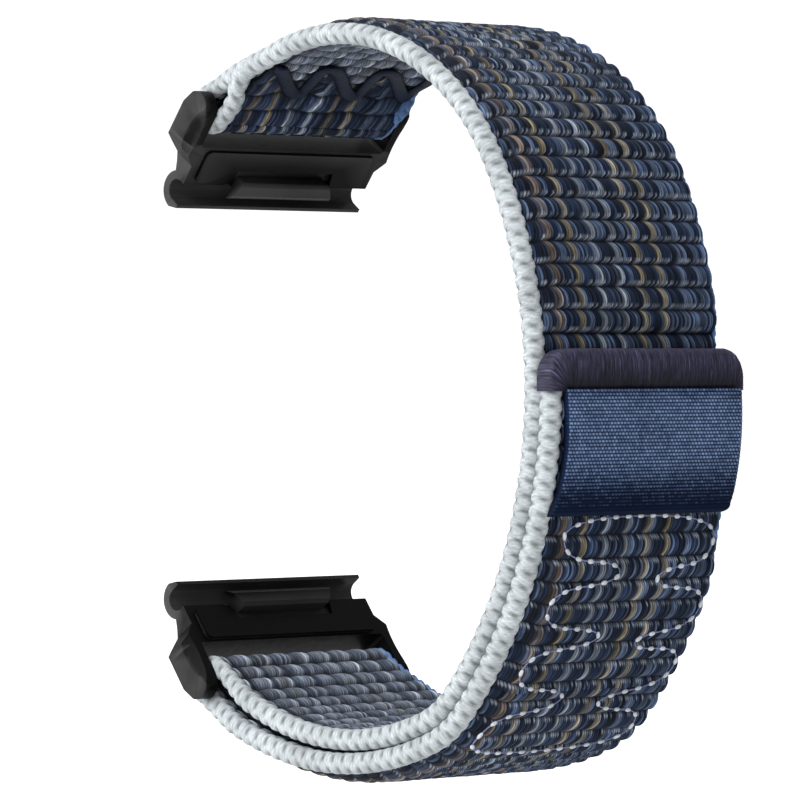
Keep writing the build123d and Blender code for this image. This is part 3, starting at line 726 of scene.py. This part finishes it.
def strap_fullness(distance):
    """The fullness of the main strap: none at the upper bar and none under the tail."""
    distance = np.asarray(distance, float)
    begins = smooth((distance - MAIN_START - 2.0) / 5.0)
    return STRAP_FULLNESS * begins * (1 - smooth((distance - COVERED_FROM + 3.5) / 2.5))


def tail_fullness(distance):
    """The fullness of the tail between the ribbon and the lower bar."""
    distance = np.asarray(distance, float)
    ends = smooth((distance - TAIL.length + 10.0) / 7.0)
    return TAIL_FULLNESS * smooth((distance - 14.0) / 6.0) * (1 - ends)


OUTER_SPLIT = 38 * RIB_PITCH    # the outer face is made in two parts that meet in a groove
outer = woven_face("strap_weave_outer_top", WHOLE, UPPER_WRAP_START - 0.4, OUTER_SPLIT, gather,
                   floor_of_whole, crest_of_whole, False, rows_per_rib=7, fullness=strap_fullness)
finish_piece(outer, "navy_weave", "strap_weave", "upper_fold")
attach(outer, "strap")
outer = woven_face("strap_weave_outer_low", WHOLE, OUTER_SPLIT, STRAP_STOP, gather,
                   floor_of_whole, crest_of_whole, False, rows_per_rib=7, fullness=strap_fullness,
                   plain_blue=MAIN_STOP - 2.5)
finish_piece(outer, "navy_weave")
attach(facing_out(outer), "strap")


class Turned:
    """A line seen from its other side: heights grow to the right."""

    def __init__(self, line):
        self.line = line

    def place(self, distance, across, height):
        return self.line.place(distance, across, -np.asarray(height))


def gap_to_flap():
    """The opening between the strap's inner face and the flap, along the strap."""
    along = np.linspace(0, FLAP.length, 60)
    strap = MAIN.place(along, 0.0 * along, 0.0 * along)
    back = FLAP.place(along, 0.0 * along, 0.0 * along)
    apart = np.linalg.norm(strap[:, None, :] - back[None, :, :], axis=2).min(axis=1) / MM
    return along, np.maximum(apart - HALF - FLAP_HALF, 0.0)


FLAP_ALONG, FLAP_GAP = gap_to_flap()


def inner_crest(distance):
    """The strap's inner face, filled out where it closes up to the flap behind the bar."""
    distance = np.asarray(distance, float)
    past_bar = distance - MAIN_START
    gap = np.interp(past_bar, FLAP_ALONG, FLAP_GAP)
    filled = gap * smooth((past_bar - 2.2) / 0.8) * (1 - smooth((past_bar - FLAP.length + 2.0) / 2.0))
    return HALF - (HALF - FOLD_HALF) * smooth((distance - MAIN_STOP + 3.0) / 3.0) + filled


inner = woven_face("strap_weave_inner", Turned(WHOLE), MAIN_START + 0.3, STRAP_STOP, gather,
                   constant(0.02), inner_crest, False, rib_height=0.42, rows_per_rib=6, domes=True,
                   bright=0.5)
finish_piece(inner, "inner_weave", "lower_fold")
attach(facing_out(inner), "strap")


def along_flap(distance):
    """How far back along the flap a place on the whole line lies."""
    return np.maximum(UPPER_WRAP_START - np.asarray(distance, float), 0.0)


def cord_size(distance):
    full = (gather(distance) - FOLD_SCALE) / (1 - FOLD_SCALE)
    hidden = smooth((along_flap(distance) - 5.5) / 2.5)
    return CORD_RADIUS * (0.84 + 0.16 * full - 0.45 * hidden)


def cord_height(distance):
    """Along the flap the edge runs over into the strap's own edge."""
    return -(HALF + FLAP_HALF) * smooth((along_flap(distance) - 2.5) / 3.5)


def blue_height(distance):
    return cord_height(distance) + BLUE_LIFT * strap_fullness(distance)


cord = cord_tube("strap_white_cord_braid", WHOLE, UPPER_WRAP_START - 8.5, STRAP_STOP, CORD_Y, gather,
                 cord_height, cord_size, **WHITE_BRAID)
finish_piece(cord, "white_cord", "strap_white_cord")
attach(cord, "strap")

blue = cord_tube("strap_blue_edging", WHOLE, UPPER_WRAP_START - 9.5, STRAP_STOP, BLUE_Y, gather,
                 blue_height, constant(BLUE_RADIUS), **BLUE_EDGING)
finish_piece(blue, "blue_edge", "strap_blue_edge")
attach(blue, "strap")

# ---------------------------------------------------------------- the tail
TAIL_SPLIT = 30.0
TAIL_END = TAIL.length + 0.6


def tail_crest(distance):
    return HALF - (HALF - FOLD_HALF) * smooth((np.asarray(distance) - TAIL.length + 4.0) / 4.0)


def bend_points(line, begin, stop):
    """Two points on a line in metres, at two distances along it."""
    a = line.place(np.array([begin]), 0.0, 0.0)[0]
    b = line.place(np.array([stop]), 0.0, 0.0)[0]
    return tuple(a), tuple(b)


def place_on_tail(joint):
    """How far along the tail a joint lies."""
    x, z = joint_point(joint)
    along = np.linspace(0, TAIL.length, 1400)
    points = TAIL.place(along, 0.0 * along, 0.0 * along) / MM
    return along[np.argmin(np.hypot(points[:, 0] - x, points[:, 2] - z))]


# Each pair of bend points starts at its joint
PEEL_PLACE = place_on_tail("tail_peel")
TIP_PLACE = place_on_tail("tip_lift")
BEND_LENGTH = 5.0
BEND_LEAD = 0.2             # the bend starts this far before the joint
upper_bend = bend_points(TAIL, TIP_PLACE + BEND_LEAD, TIP_PLACE - BEND_LENGTH)
lower_bend = bend_points(TAIL, PEEL_PLACE + BEND_LEAD, PEEL_PLACE - BEND_LENGTH)


def tail_set(suffix, begin, stop, nodes):
    """Both faces of the weave and both edges over one part of the tail."""
    made = []
    outer_face = woven_face("tail_weave_outer_" + suffix, TAIL, begin, stop, tail_gather,
                            constant(-0.02), tail_crest, True, fullness=tail_fullness)
    made.append(finish_piece(outer_face, "navy_weave", nodes[0]))
    inner_face = woven_face("tail_weave_inner_" + suffix, Turned(TAIL), begin, stop, tail_gather,
                            constant(0.02), constant(HALF), True, rib_height=0.3, rows_per_rib=6,
                            domes=True, bright=0.5)
    made.append(finish_piece(inner_face, "inner_weave"))
    white = cord_tube("tail_white_cord_braid_" + suffix, TAIL, begin, stop, CORD_Y, tail_gather,
                      constant(0.0), constant(CORD_RADIUS), ends=False, **WHITE_BRAID)
    made.append(finish_piece(white, "white_cord", nodes[1]))
    edging = cord_tube("tail_blue_edging_" + suffix, TAIL, begin, stop, BLUE_Y, tail_gather,
                       lambda s: BLUE_LIFT * tail_fullness(s), constant(BLUE_RADIUS), ends=False,
                       **BLUE_EDGING)
    made.append(finish_piece(edging, "blue_edge", nodes[2]))
    for piece in made:
        facing_out(piece)
        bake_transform(piece)


tail_set("lower", TAIL_SPLIT, TAIL_END,
         ("tail_weave", "tail_white_cord", "tail_blue_edge"))
tail_set("upper", BINDING_LENGTH - 1.5, TAIL_SPLIT,
         ("tip_weave", "tip_white_cord", "tip_blue_edge"))


# ---------------------------------------------------------------- the bound end
def binding():
    """Satin stitches over the tail's end: each thread runs from the edge to the lower line."""
    near, far = -12.1, 11.45
    corner = 2.3
    low = BINDING_LENGTH
    top = -0.25
    thread = 0.17
    step_size = thread / 3      # three points to each thread
    turn = np.radians(np.arange(0, 90, 2.2))
    path = [(near, value) for value in np.arange(low, top + corner, -step_size)]
    path += list(zip(near + corner - corner * np.cos(turn), top + corner - corner * np.sin(turn)))
    path += [(value, top) for value in np.arange(near + corner, far - corner, step_size)]
    path += list(zip(far - corner + corner * np.sin(turn), top + corner - corner * np.cos(turn)))
    path += [(far, value) for value in np.arange(top + corner, low + 0.01, step_size)]
    outline = np.array(path)
    count = len(outline)
    inner_near = near + 2.4
    inner_far = far - 1.4
    fan = np.clip(outline[:, 0], inner_near, inner_far)
    ends = np.stack([fan, np.full(count, low)], -1)
    # reach is the share of the way from the lower line to the outline, and rise is the height there
    reach = np.array([0.0, 0.06, 0.2, 0.42, 0.68, 0.86, 0.955, 1.0, 1.0, 0.97, 0.85, 0.5, 0.0])
    rise = np.array([0.05, 0.40, 0.60, 0.70, 0.68, 0.56, 0.34, 0.0, -0.9, -1.45, -1.75, -1.82, -1.82])
    u = np.arange(count)
    groove = np.where(u % 3 == 0, 0.0, 1.0)
    jitter = RANDOM.normal(0, 0.012, count)
    place = ends[:, None, :] * (1 - reach[None, :, None]) + outline[:, None, :] * reach[None, :, None]
    thin = 1.0 - 0.25 * smooth((np.abs(outline[:, 0] + 0.3) - 10.3) / 1.4)
    height = HALF + rise[None, :] * np.where(rise > 0, thin[:, None], 1.0)
    lifted = (groove[:, None] - 1) * 0.045 + jitter[:, None]
    height = height + np.where(rise[None, :] > 0.02, lifted, 0.0)
    swell = np.where(np.abs(reach - 1.0) < 0.04, 1, 0)[None, :] * lifted
    centre = np.array([-0.3, low])
    away = outline - centre
    away = away / np.linalg.norm(away, axis=1)[:, None]
    place = place + swell[..., None] * away[:, None, :]
    points = TAIL.place(place[..., 1], place[..., 0], height)
    tone = np.exp(RANDOM.normal(0, 0.15, count))
    tone = np.repeat(tone[::3], 3)[:count]
    colour = np.array([0.0260, 0.0250, 0.0500])
    # Painted shade: darker towards the lower line, and half as bright in the grooves between threads
    light = 0.35 + 1.1 * smooth((reach - 0.15) / 0.55)
    patches = np.exp(RANDOM.normal(0, 0.38, (count, len(reach))))
    tint = colour[None, None, :] * (tone * (0.5 + 0.5 * groove))[:, None, None] * light[None, :, None]
    tint = tint * patches[..., None]
    tint = np.broadcast_to(tint, points.shape).copy()
    round_path = np.broadcast_to(u[:, None] * step_size, place.shape[:2])
    cloth = np.stack([round_path, place[..., 1]], -1) * CLOTH_SCALE
    faces = tube_faces(count, len(reach))
    return facing_out(make_object("end_binding_satin", points, faces, tint, cloth))


bound_end = finish_piece(binding(), "purple_binding", "end_binding")
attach(bound_end, "tail_tip")


# ---------------------------------------------------------------- the ribbon pull tab
def ribbon():
    """Grosgrain: rows of small raised floats, with a rolled lower end."""
    rib = 0.29
    dot = 0.40
    near = -10.55
    far = 10.75
    rows_per_rib = 5
    dots_across = int(round((far - near) / dot))
    rows = int(round(RIBBON_LENGTH / rib))
    v = np.arange(rows * rows_per_rib + 1) / (rows * rows_per_rib)
    distance = RIBBON_START - 0.35 + v * (RIBBON_LENGTH + 0.35)
    t = (np.arange(len(v)) / rows_per_rib) % 1.0
    local = np.array([-0.5, -0.2, 0.2])
    columns = np.append((np.arange(dots_across)[:, None] + 0.5 + local[None, :]).ravel(), dots_across)
    crown = np.append(np.tile([0.0, 1.0, 1.0], dots_across), 0.0)
    share = columns / dots_across
    bow = 0.42 * np.sin(np.pi * np.clip(v * 1.12, 0, 1)) - 0.45 * smooth((v - 0.8) / 0.2)
    corner = 0.75 * smooth((v - 0.90) / 0.1) ** 2
    near_y = near + bow
    far_y = far + 0.55 * bow - corner
    odd = np.floor(np.arange(len(v)) / rows_per_rib).astype(int) % 2
    stagger = (odd - 0.5)[:, None] * 0.5 * dot * (columns > 0)[None, :] * (columns < dots_across)[None, :]
    y = near_y[:, None] + (far_y - near_y)[:, None] * share[None, :] + stagger
    roll = smooth((v - 0.905) / 0.05)
    end = np.clip((v - 0.955) / 0.045, 0, 1)
    ridge = np.clip(np.sin(np.pi * t), 0, 1) ** 0.8
    bumps = ridge[:, None] * (0.35 + 0.65 * crown[None, :]) * (1 - roll)[:, None]
    base = HALF + 0.12
    crest = base + 0.62 + 0.16 * roll - 0.65 * end ** 2.5
    height = crest[:, None] - 0.075 * (1 - bumps)
    # Painted highlight: the floats' crowns turn to the light colour at random strength; painted shade:
    # darker between the ridges
    light = np.array([0.22, 0.32, 0.54])
    deep = np.array([0.0012, 0.0050, 0.0200])
    middle = np.array([0.0065, 0.0210, 0.0750])
    spark = RANDOM.uniform(0.75, 1.1, (rows + 1, dots_across))
    row_index = np.minimum(np.arange(len(v)) // rows_per_rib, rows)
    dot_index = np.minimum(np.repeat(np.arange(dots_across + 1), 3)[:len(columns)], dots_across - 1)
    # Painted shade: the binding's shadow across the top, and darker towards the rolled lower end
    ribbon_painted_shade = ((1 - 0.8 * smooth((v - 0.5) / 0.42)) * (0.65 + 0.35 * smooth(v / 0.12)))[:, None]
    floats = bumps * spark[row_index][:, dot_index] * (0.25 + 0.75 * ribbon_painted_shade)
    floats = np.clip(floats * 1.6 - 0.55, 0, 1.2) * (1 - roll)[:, None]
    tint = deep + (middle - deep) * (0.2 + 0.8 * ridge)[:, None, None] + 0 * y[..., None]
    tint = tint * (0.35 + 0.65 * ribbon_painted_shade[..., None])
    tint = tint * (1 - floats[..., None]) + light * floats[..., None]
    top = TAIL.place(distance[:, None], y, height)
    low = np.full(len(distance), base)
    bottom_near = TAIL.place(distance, y[:, 0], low)
    bottom_far = TAIL.place(distance, y[:, -1], low)
    cloth = np.stack([y, np.broadcast_to(distance[:, None], y.shape)], -1) * CLOTH_SCALE
    return facing_out(slab("pull_tab_grosgrain", top, bottom_near, bottom_far, tint, cloth))


pull_tab = finish_piece(ribbon(), "navy_ribbon", "pull_tab_ribbon")
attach(pull_tab, "pull_tab")


# ---------------------------------------------------------------- hooks and stitching
def outline_points():
    """The tail's stitching: four rounded lobes down each side, joined by narrow necks."""
    left = [(13.9, -8.6), (17.4, -8.4), (17.8, -1.3), (19.4, -1.5)]
    left += [(20.0, -9.0), (23.4, -8.7), (23.8, -1.4), (25.2, -1.7)]
    left += [(25.9, -9.1), (29.4, -8.9), (29.9, -2.2), (31.7, -2.6)]
    left += [(32.6, -9.7), (37.4, -9.5)]
    right = [(13.9, 9.9), (17.9, 9.7), (18.5, 3.4), (20.0, 3.4)]
    right += [(20.3, 10.0), (23.8, 9.7), (24.6, 3.4), (25.9, 3.5)]
    right += [(26.0, 9.8), (29.6, 9.6), (30.8, 2.6), (32.2, 2.8)]
    right += [(32.6, 9.2), (37.0, 8.6)]
    corners = left + right[::-1]
    for _ in range(3):
        corners = round_corners(corners)
    return corners + corners[:1]


def round_corners(corners):
    """The same closed outline with each corner cut at a quarter of its sides."""
    made = []
    for a, b in zip(corners, corners[1:] + corners[:1]):
        made.append((0.75 * a[0] + 0.25 * b[0], 0.75 * a[1] + 0.25 * b[1]))
        made.append((0.25 * a[0] + 0.75 * b[0], 0.25 * a[1] + 0.75 * b[1]))
    return made


class SmallTubes:
    """Many small closed tubes on the tail, gathered into one piece."""

    def __init__(self):
        self.points = []
        self.faces = []
        self.tints = []

    def add_tube(self, rings, colour):
        """Joins rings of points, each point a distance, a place across and a height."""
        around = len(rings[0])
        self.faces += tube_faces(len(rings), around, len(self.points))
        for ring in rings:
            self.points += ring
            self.tints += [colour] * around

    def piece(self, name):
        points = np.array(self.points)
        raised = points[:, 2] + tail_fullness(points[:, 0])
        world = TAIL.place(points[:, 0], points[:, 1], raised)
        cloth = points[:, :2] * CLOTH_SCALE
        return facing_out(make_object(name, world, self.faces, np.array(self.tints), cloth))


STITCH_LIFT = HALF + 0.06
STITCH_COLOUR = (0.62, 0.66, 0.72)
BEAD_RADIUS = 0.165
BEAD_HALF = 0.36            # half of a bead's length
THREAD_RADIUS = 0.06
THREAD_COLOUR = (0.20, 0.23, 0.42)


def bead_rings(spot, way):
    """A bead of stitching at a spot on the tail, its length along way."""
    rings = []
    for latitude in np.pi * (np.arange(5) + 0.5) / 5:
        ring = []
        for longitude in 2 * np.pi * np.arange(8) / 8:
            along = BEAD_HALF * np.cos(latitude)
            side = BEAD_RADIUS * np.sin(latitude) * np.cos(longitude) * 1.25
            rise = BEAD_RADIUS * np.sin(latitude) * np.sin(longitude)
            place = spot + way * along + np.array([-way[1], way[0]]) * side
            ring.append((place[0], place[1], STITCH_LIFT + rise))
        rings.append(ring)
    return rings


def stitching():
    """Beads along the tail's outline, joined by a thin thread."""
    corners = np.array(outline_points())
    sizes = np.hypot(*(corners[1:] - corners[:-1]).T)
    reached = np.append(0, np.cumsum(sizes))
    made = SmallTubes()
    for along in np.arange(0, reached[-1] - 0.8, STITCH_PITCH):
        leg = min(int(np.searchsorted(reached, along, side="right")) - 1, len(sizes) - 1)
        way = (corners[leg + 1] - corners[leg]) / sizes[leg]
        made.add_tube(bead_rings(corners[leg] + way * (along - reached[leg]), way), STITCH_COLOUR)
    for a, b in zip(corners[:-1], corners[1:]):
        way = (b - a) / np.hypot(*(b - a))
        side = THREAD_RADIUS * np.array([-way[1], way[0]])
        rings = []
        for spot in (a, b):
            ring = []
            for angle in 2 * np.pi * np.arange(6) / 6:
                place = spot + side * np.cos(angle)
                height = STITCH_LIFT - 0.02 + THREAD_RADIUS * np.sin(angle)
                ring.append((place[0], place[1], height))
            rings.append(ring)
        made.add_tube(rings, THREAD_COLOUR)
    return made.piece("tail_stitching")


stitches = finish_piece(stitching(), "white_cord")
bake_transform(stitches)


HOOK_PITCH = 0.9
HOOK_RADIUS = 0.06
HOOK_COLOUR = (0.016, 0.018, 0.026)
PLATE_BOTTOM = -HALF + 0.28
PLATE_TOP = -HALF + 0.55


def hook_rings(s, y):
    """A small bent hook standing down from the plate: a straight stem, then a half turn."""
    rings = []
    for k in range(5):
        turn = np.pi * 0.9 * max(k - 1, 0) / 3
        rise = 0.02 + 0.10 * k if k < 2 else 0.12 + 0.10 * np.sin(turn)
        lean = 0.0 if k < 2 else 0.14 * (1 - np.cos(turn))
        ring = []
        for angle in np.pi / 2 * np.arange(4) + np.pi / 4:
            across = y + lean + HOOK_RADIUS * np.sin(angle)
            ring.append((s + HOOK_RADIUS * np.cos(angle), across, PLATE_BOTTOM + 0.01 - rise))
        rings.append(ring)
    return rings


def hooks():
    """The hook patch in the tail's inner face: a plate with rows of small bent hooks."""
    near, far = -8.0, 9.0
    section = ((near, PLATE_BOTTOM), (far, PLATE_BOTTOM), (far, PLATE_TOP), (near, PLATE_TOP))
    made = SmallTubes()
    plate = np.linspace(HOOK_START, HOOK_START + HOOK_LENGTH, 60)
    made.add_tube([[(s, y, h) for y, h in section] for s in plate], HOOK_COLOUR)
    for s in np.arange(HOOK_START + 0.5, HOOK_START + HOOK_LENGTH - 0.4, HOOK_PITCH):
        for y in np.arange(near + 0.5, far - 0.4, HOOK_PITCH):
            made.add_tube(hook_rings(s, y), HOOK_COLOUR)
    return made.piece("hook_patch_hooks")


hook_patch = finish_piece(hooks(), "hook_nylon", "hook_patch")
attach(hook_patch, "tail")


# ---------------------------------------------------------------- the flap and its wavy seam
def flap_gather(distance):
    return FOLD_SCALE + (1 - FOLD_SCALE) * smooth(np.asarray(distance, float) / 5.0)


WAVE_MIDDLE = 6.5           # of the wavy seam, along the flap
WAVE_SWING = 2.6
FLAP_SINK = 0.72            # how far the flap thins down to meet the strap at the seam
WAVE_STEP = 6.9             # across the flap, from crest to crest
WAVE_START = -10.9
WAVE_SKEW = 1.9             # how far the wave's troughs are moved across
SEAM_HALF = 0.6             # the weave is pressed down this near to the seam's middle
FLAP_ROWS = 84


def wave_line(turn):
    """The wavy seam as (distance, place across); each whole turn is a crest."""
    swing = np.sin(1.3 * np.cos(2 * np.pi * turn)) / np.sin(1.3)
    return WAVE_MIDDLE + WAVE_SWING * swing, WAVE_START + WAVE_STEP * turn + WAVE_SKEW * (1 - swing)


def wave_end(place):
    """How far the flap's weave reaches at a place across it, under the middle of the seam."""
    turn = np.linspace(-0.2, 3.2, 3000)
    distance, across = wave_line(turn)
    forward = np.maximum.accumulate(across)
    rising = np.append([True], np.diff(forward) > 0)
    return np.interp(place, across[rising], distance[rising])


def cut_layer(name, top, bottom, kept, tint, cloth):
    """A closed layer from two grids of points; kept says which cells of the grid are there."""
    rows, columns = top.shape[:2]
    count = rows * columns
    faces = []
    edges = {}
    for r, c in zip(*np.nonzero(kept)):
        first = int(r * columns + c)
        face = [first, first + 1, first + columns + 1, first + columns]
        faces.append(face)
        for a, b in zip(face, face[1:] + face[:1]):
            if (b, a) in edges:
                del edges[(b, a)]
            else:
                edges[(a, b)] = True
    lower = [[n + count for n in reversed(face)] for face in faces]
    walls = [[b, a, a + count, b + count] for a, b in edges]
    used = np.unique(np.array(faces + lower))
    new_number = np.zeros(2 * count, int)
    new_number[used] = np.arange(len(used))
    every = [[int(new_number[n]) for n in face] for face in faces + lower + walls]
    points = np.concatenate([top.reshape(-1, 3), bottom.reshape(-1, 3)])[used]
    tints = np.concatenate([tint.reshape(-1, 3), tint.reshape(-1, 3)])[used]
    cloths = np.concatenate([cloth.reshape(-1, 2), cloth.reshape(-1, 2)])[used]
    return make_object(name, points, every, tints, cloths)


def flap_weave():
    """The flap's inner face, thinned down to the strap along its wavy end."""
    end = WAVE_MIDDLE + WAVE_SWING + 0.1
    s = np.repeat(np.linspace(0, end, FLAP_ROWS)[:, None], len(SHARE), 1)
    t = (s / RIB_PITCH) % 1.0
    rib = np.floor(s / RIB_PITCH).astype(int)
    swing = 0.55 * (t - 0.5) * smooth((end - s) / 2.0)
    y = flap_gather(s) * ACROSS + swing * INSIDE
    profile = rib_profile(t)
    crest = FLAP_HALF + (FOLD_HALF - FLAP_HALF) * smooth((2.0 - s) / 2.0)
    seam_s, seam_y = wave_line(np.linspace(-0.1, 3.0, 150))
    left = np.full(s.shape, 99.0)
    for a, b in zip(seam_s, seam_y):
        left = np.minimum(left, np.hypot(s - a, y - b))
    crest = crest - FLAP_SINK * smooth(1 - (left - SEAM_HALF) / 2.2)
    height = crest - 0.26 * (1 - profile) * smooth(left / 2.0) - 0.09 * (1 - CROWN)
    height = height - 0.12 * (left < SEAM_HALF)
    cells = (40, STRANDS)
    colour = strand_colours(0.9) * 1.25
    tone = np.exp(RANDOM.normal(0, 0.45, cells))
    index = np.broadcast_to(STRAND, s.shape)
    tint = colour[index] * tone[rib + 5, index][..., None]
    glint = (RANDOM.random(cells) < 0.35) * RANDOM.uniform(0.3, 1.0, cells)
    tint = tint + 0.8 * GLINT * (glint[rib + 5, index] * smooth(profile * 1.2))[..., None]
    light = (0.2 + 0.8 * smooth(profile * 1.6)) * (0.35 + 0.65 * CROWN)
    tint = darkened(tint, light * (0.25 + 0.75 * smooth((left - SEAM_HALF) / 1.2)))
    turned = Turned(FLAP)
    top = turned.place(s, y, height)
    bottom = turned.place(s, y, height - 0.35 - 0.3 * smooth((left - SEAM_HALF) / 2.0))
    middle_s = (s[1:, 1:] + s[:-1, :-1]) / 2
    middle_y = (y[1:, 1:] + y[:-1, :-1]) / 2
    kept = middle_s < wave_end(middle_y)
    cloth = np.stack([y, s], -1) * CLOTH_SCALE
    return facing_out(cut_layer("flap_weave_face", top, bottom, kept, tint, cloth))


flap = finish_piece(flap_weave(), "navy_weave", "fold_flap")
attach(flap, "strap")


def wave_seam():
    """The smooth stitched band along the flap's wavy end."""
    count = 420
    around = 10
    turn = np.linspace(-0.06, 2.85, count)
    s, y = wave_line(turn)
    y = np.clip(y, WEAVE_NEAR * FOLD_SCALE, WEAVE_FAR * FOLD_SCALE)
    along = np.stack([np.gradient(s), np.gradient(y)], -1)
    along = along / np.linalg.norm(along, axis=1)[:, None]
    normal = np.stack([along[:, 1], -along[:, 0]], -1)
    angle = np.linspace(0, 2 * np.pi, around, endpoint=False)
    thread = np.where(np.arange(count) % 2 == 0, 0.0, 1.0)
    half_width = 0.66
    bulge = np.clip(np.sin(angle), 0, 1)
    grow = 1 + 0.02 * thread
    side = half_width * np.cos(angle)[None, :] * grow[:, None]
    up = (0.24 * np.sin(angle) * np.abs(np.sin(angle)) ** 0.2)[None, :] + 0.02 * thread[:, None]
    place_s = s[:, None] + normal[:, 0:1] * side
    place_y = y[:, None] + normal[:, 1:2] * side
    place_y = np.clip(place_y, WEAVE_NEAR, WEAVE_FAR)
    points = Turned(FLAP).place(place_s, place_y, up + FLAP_HALF - FLAP_SINK)
    shade = 0.7 + 0.6 * np.sin(angle)[None, :] + 0.25 * thread[:, None] * bulge[None, :]
    tint = np.array([0.0040, 0.0090, 0.0230])[None, None, :] * shade[..., None]
    cloth = np.stack([place_y, place_s], -1) * CLOTH_SCALE
    faces = tube_faces(count, around)
    return facing_out(make_object("flap_wave_seam_band", points, faces, tint, cloth))


seam = finish_piece(wave_seam(), "seam_weld", "flap_wave_seam")
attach(seam, "strap")

# ---------------------------------------------------------------- the connectors' finishes
FINISHES = {
    "claw_body": "black_frame",
    "side_arms": "black_frame",
    "cover": "black_cover",
    "cover_pins": "steel_pins",
    "strap_bar": "steel_pins",
    "latch": "black_latch",
    "latch_springs": "spring_steel",
}
for end in ("upper_", "lower_"):
    for node, finish in FINISHES.items():
        piece = frame["nodes"][end + node]
        if not piece.data.materials:
            piece.data.materials.append(MATERIALS[finish])
        for number in range(len(piece.data.materials)):
            piece.data.materials[number] = MATERIALS[finish]

# ---------------------------------------------------------------- camera, lights and floor
CAMERA_TARGET = Vector((0.01772, 0.0, -0.0190))
CAMERA_DISTANCE = 0.480
LENS = 240.84               # millimetres, on a sensor 36 mm wide
CAMERA_AZIMUTH = np.radians(47.0)
CAMERA_ELEVATION = np.radians(0.5)
back = Vector((
    np.sin(CAMERA_AZIMUTH) * np.cos(CAMERA_ELEVATION),
    -np.cos(CAMERA_AZIMUTH) * np.cos(CAMERA_ELEVATION),
    np.sin(CAMERA_ELEVATION),
))
camera_data = bpy.data.cameras.new("camera")
camera_data.lens = LENS
camera_data.sensor_width = 36.0
camera_data.clip_start = 0.01
camera_data.dof.use_dof = False
camera = bpy.data.objects.new("camera", camera_data)
bpy.context.scene.collection.objects.link(camera)
camera.location = CAMERA_TARGET + back * CAMERA_DISTANCE
camera.rotation_euler = back.to_track_quat("Z", "Y").to_euler()
bpy.context.scene.camera = camera


def area_light(name, place, size, power):
    data = bpy.data.lights.new(name, "AREA")
    data.size = size
    data.energy = power
    light = bpy.data.objects.new(name, data)
    bpy.context.scene.collection.objects.link(light)
    light.location = place
    light.rotation_euler = (light.location - CAMERA_TARGET).to_track_quat("Z", "Y").to_euler()
    return light


right = Vector((np.cos(CAMERA_AZIMUTH), np.sin(CAMERA_AZIMUTH), 0.0))
up = Vector((0.0, 0.0, 1.0))
area_light("key_light", CAMERA_TARGET - right * 0.30 + up * 0.32 + back * 0.40, 0.32, 2.5)
area_light("fill_light", CAMERA_TARGET + right * 0.12 - up * 0.10 + back * 0.50, 0.40, 0.9)
area_light("side_light", CAMERA_TARGET - right * 0.50 + up * 0.05 + back * 0.02, 0.35, 1.3)
area_light("top_light", CAMERA_TARGET + up * 0.50 - back * 0.05, 0.35, 0.9)

bpy.ops.mesh.primitive_plane_add(size=8.0, location=(0, 0, -0.20))
floor = bpy.context.object
floor.name = "floor"
floor_material, floor_tree, floor_shader = new_material("floor_white", (0.8, 0.8, 0.8), 0.9, 0.0, 0.0)
floor_seen = add(floor_tree, "ShaderNodeLightPath")
floor_tree.links.new(floor_seen.outputs["Is Camera Ray"], floor_shader.inputs["Emission Strength"])
floor_shader.inputs["Emission Color"].default_value = (1.1, 1.1, 1.1, 1)
floor.data.materials.append(floor_material)

world = bpy.data.worlds.new("world")
bpy.context.scene.world = world
world.use_nodes = True
background = world.node_tree.nodes["Background"]
background.inputs["Color"].default_value = (1, 1, 1, 1)
seen = world.node_tree.nodes.new("ShaderNodeLightPath")
strength = world.node_tree.nodes.new("ShaderNodeMapRange")
strength.inputs["To Min"].default_value = 0.35
strength.inputs["To Max"].default_value = 1.1
world.node_tree.links.new(seen.outputs["Is Camera Ray"], strength.inputs["Value"])
world.node_tree.links.new(strength.outputs["Result"], background.inputs["Strength"])
bpy.context.scene.view_settings.view_transform = "Standard"
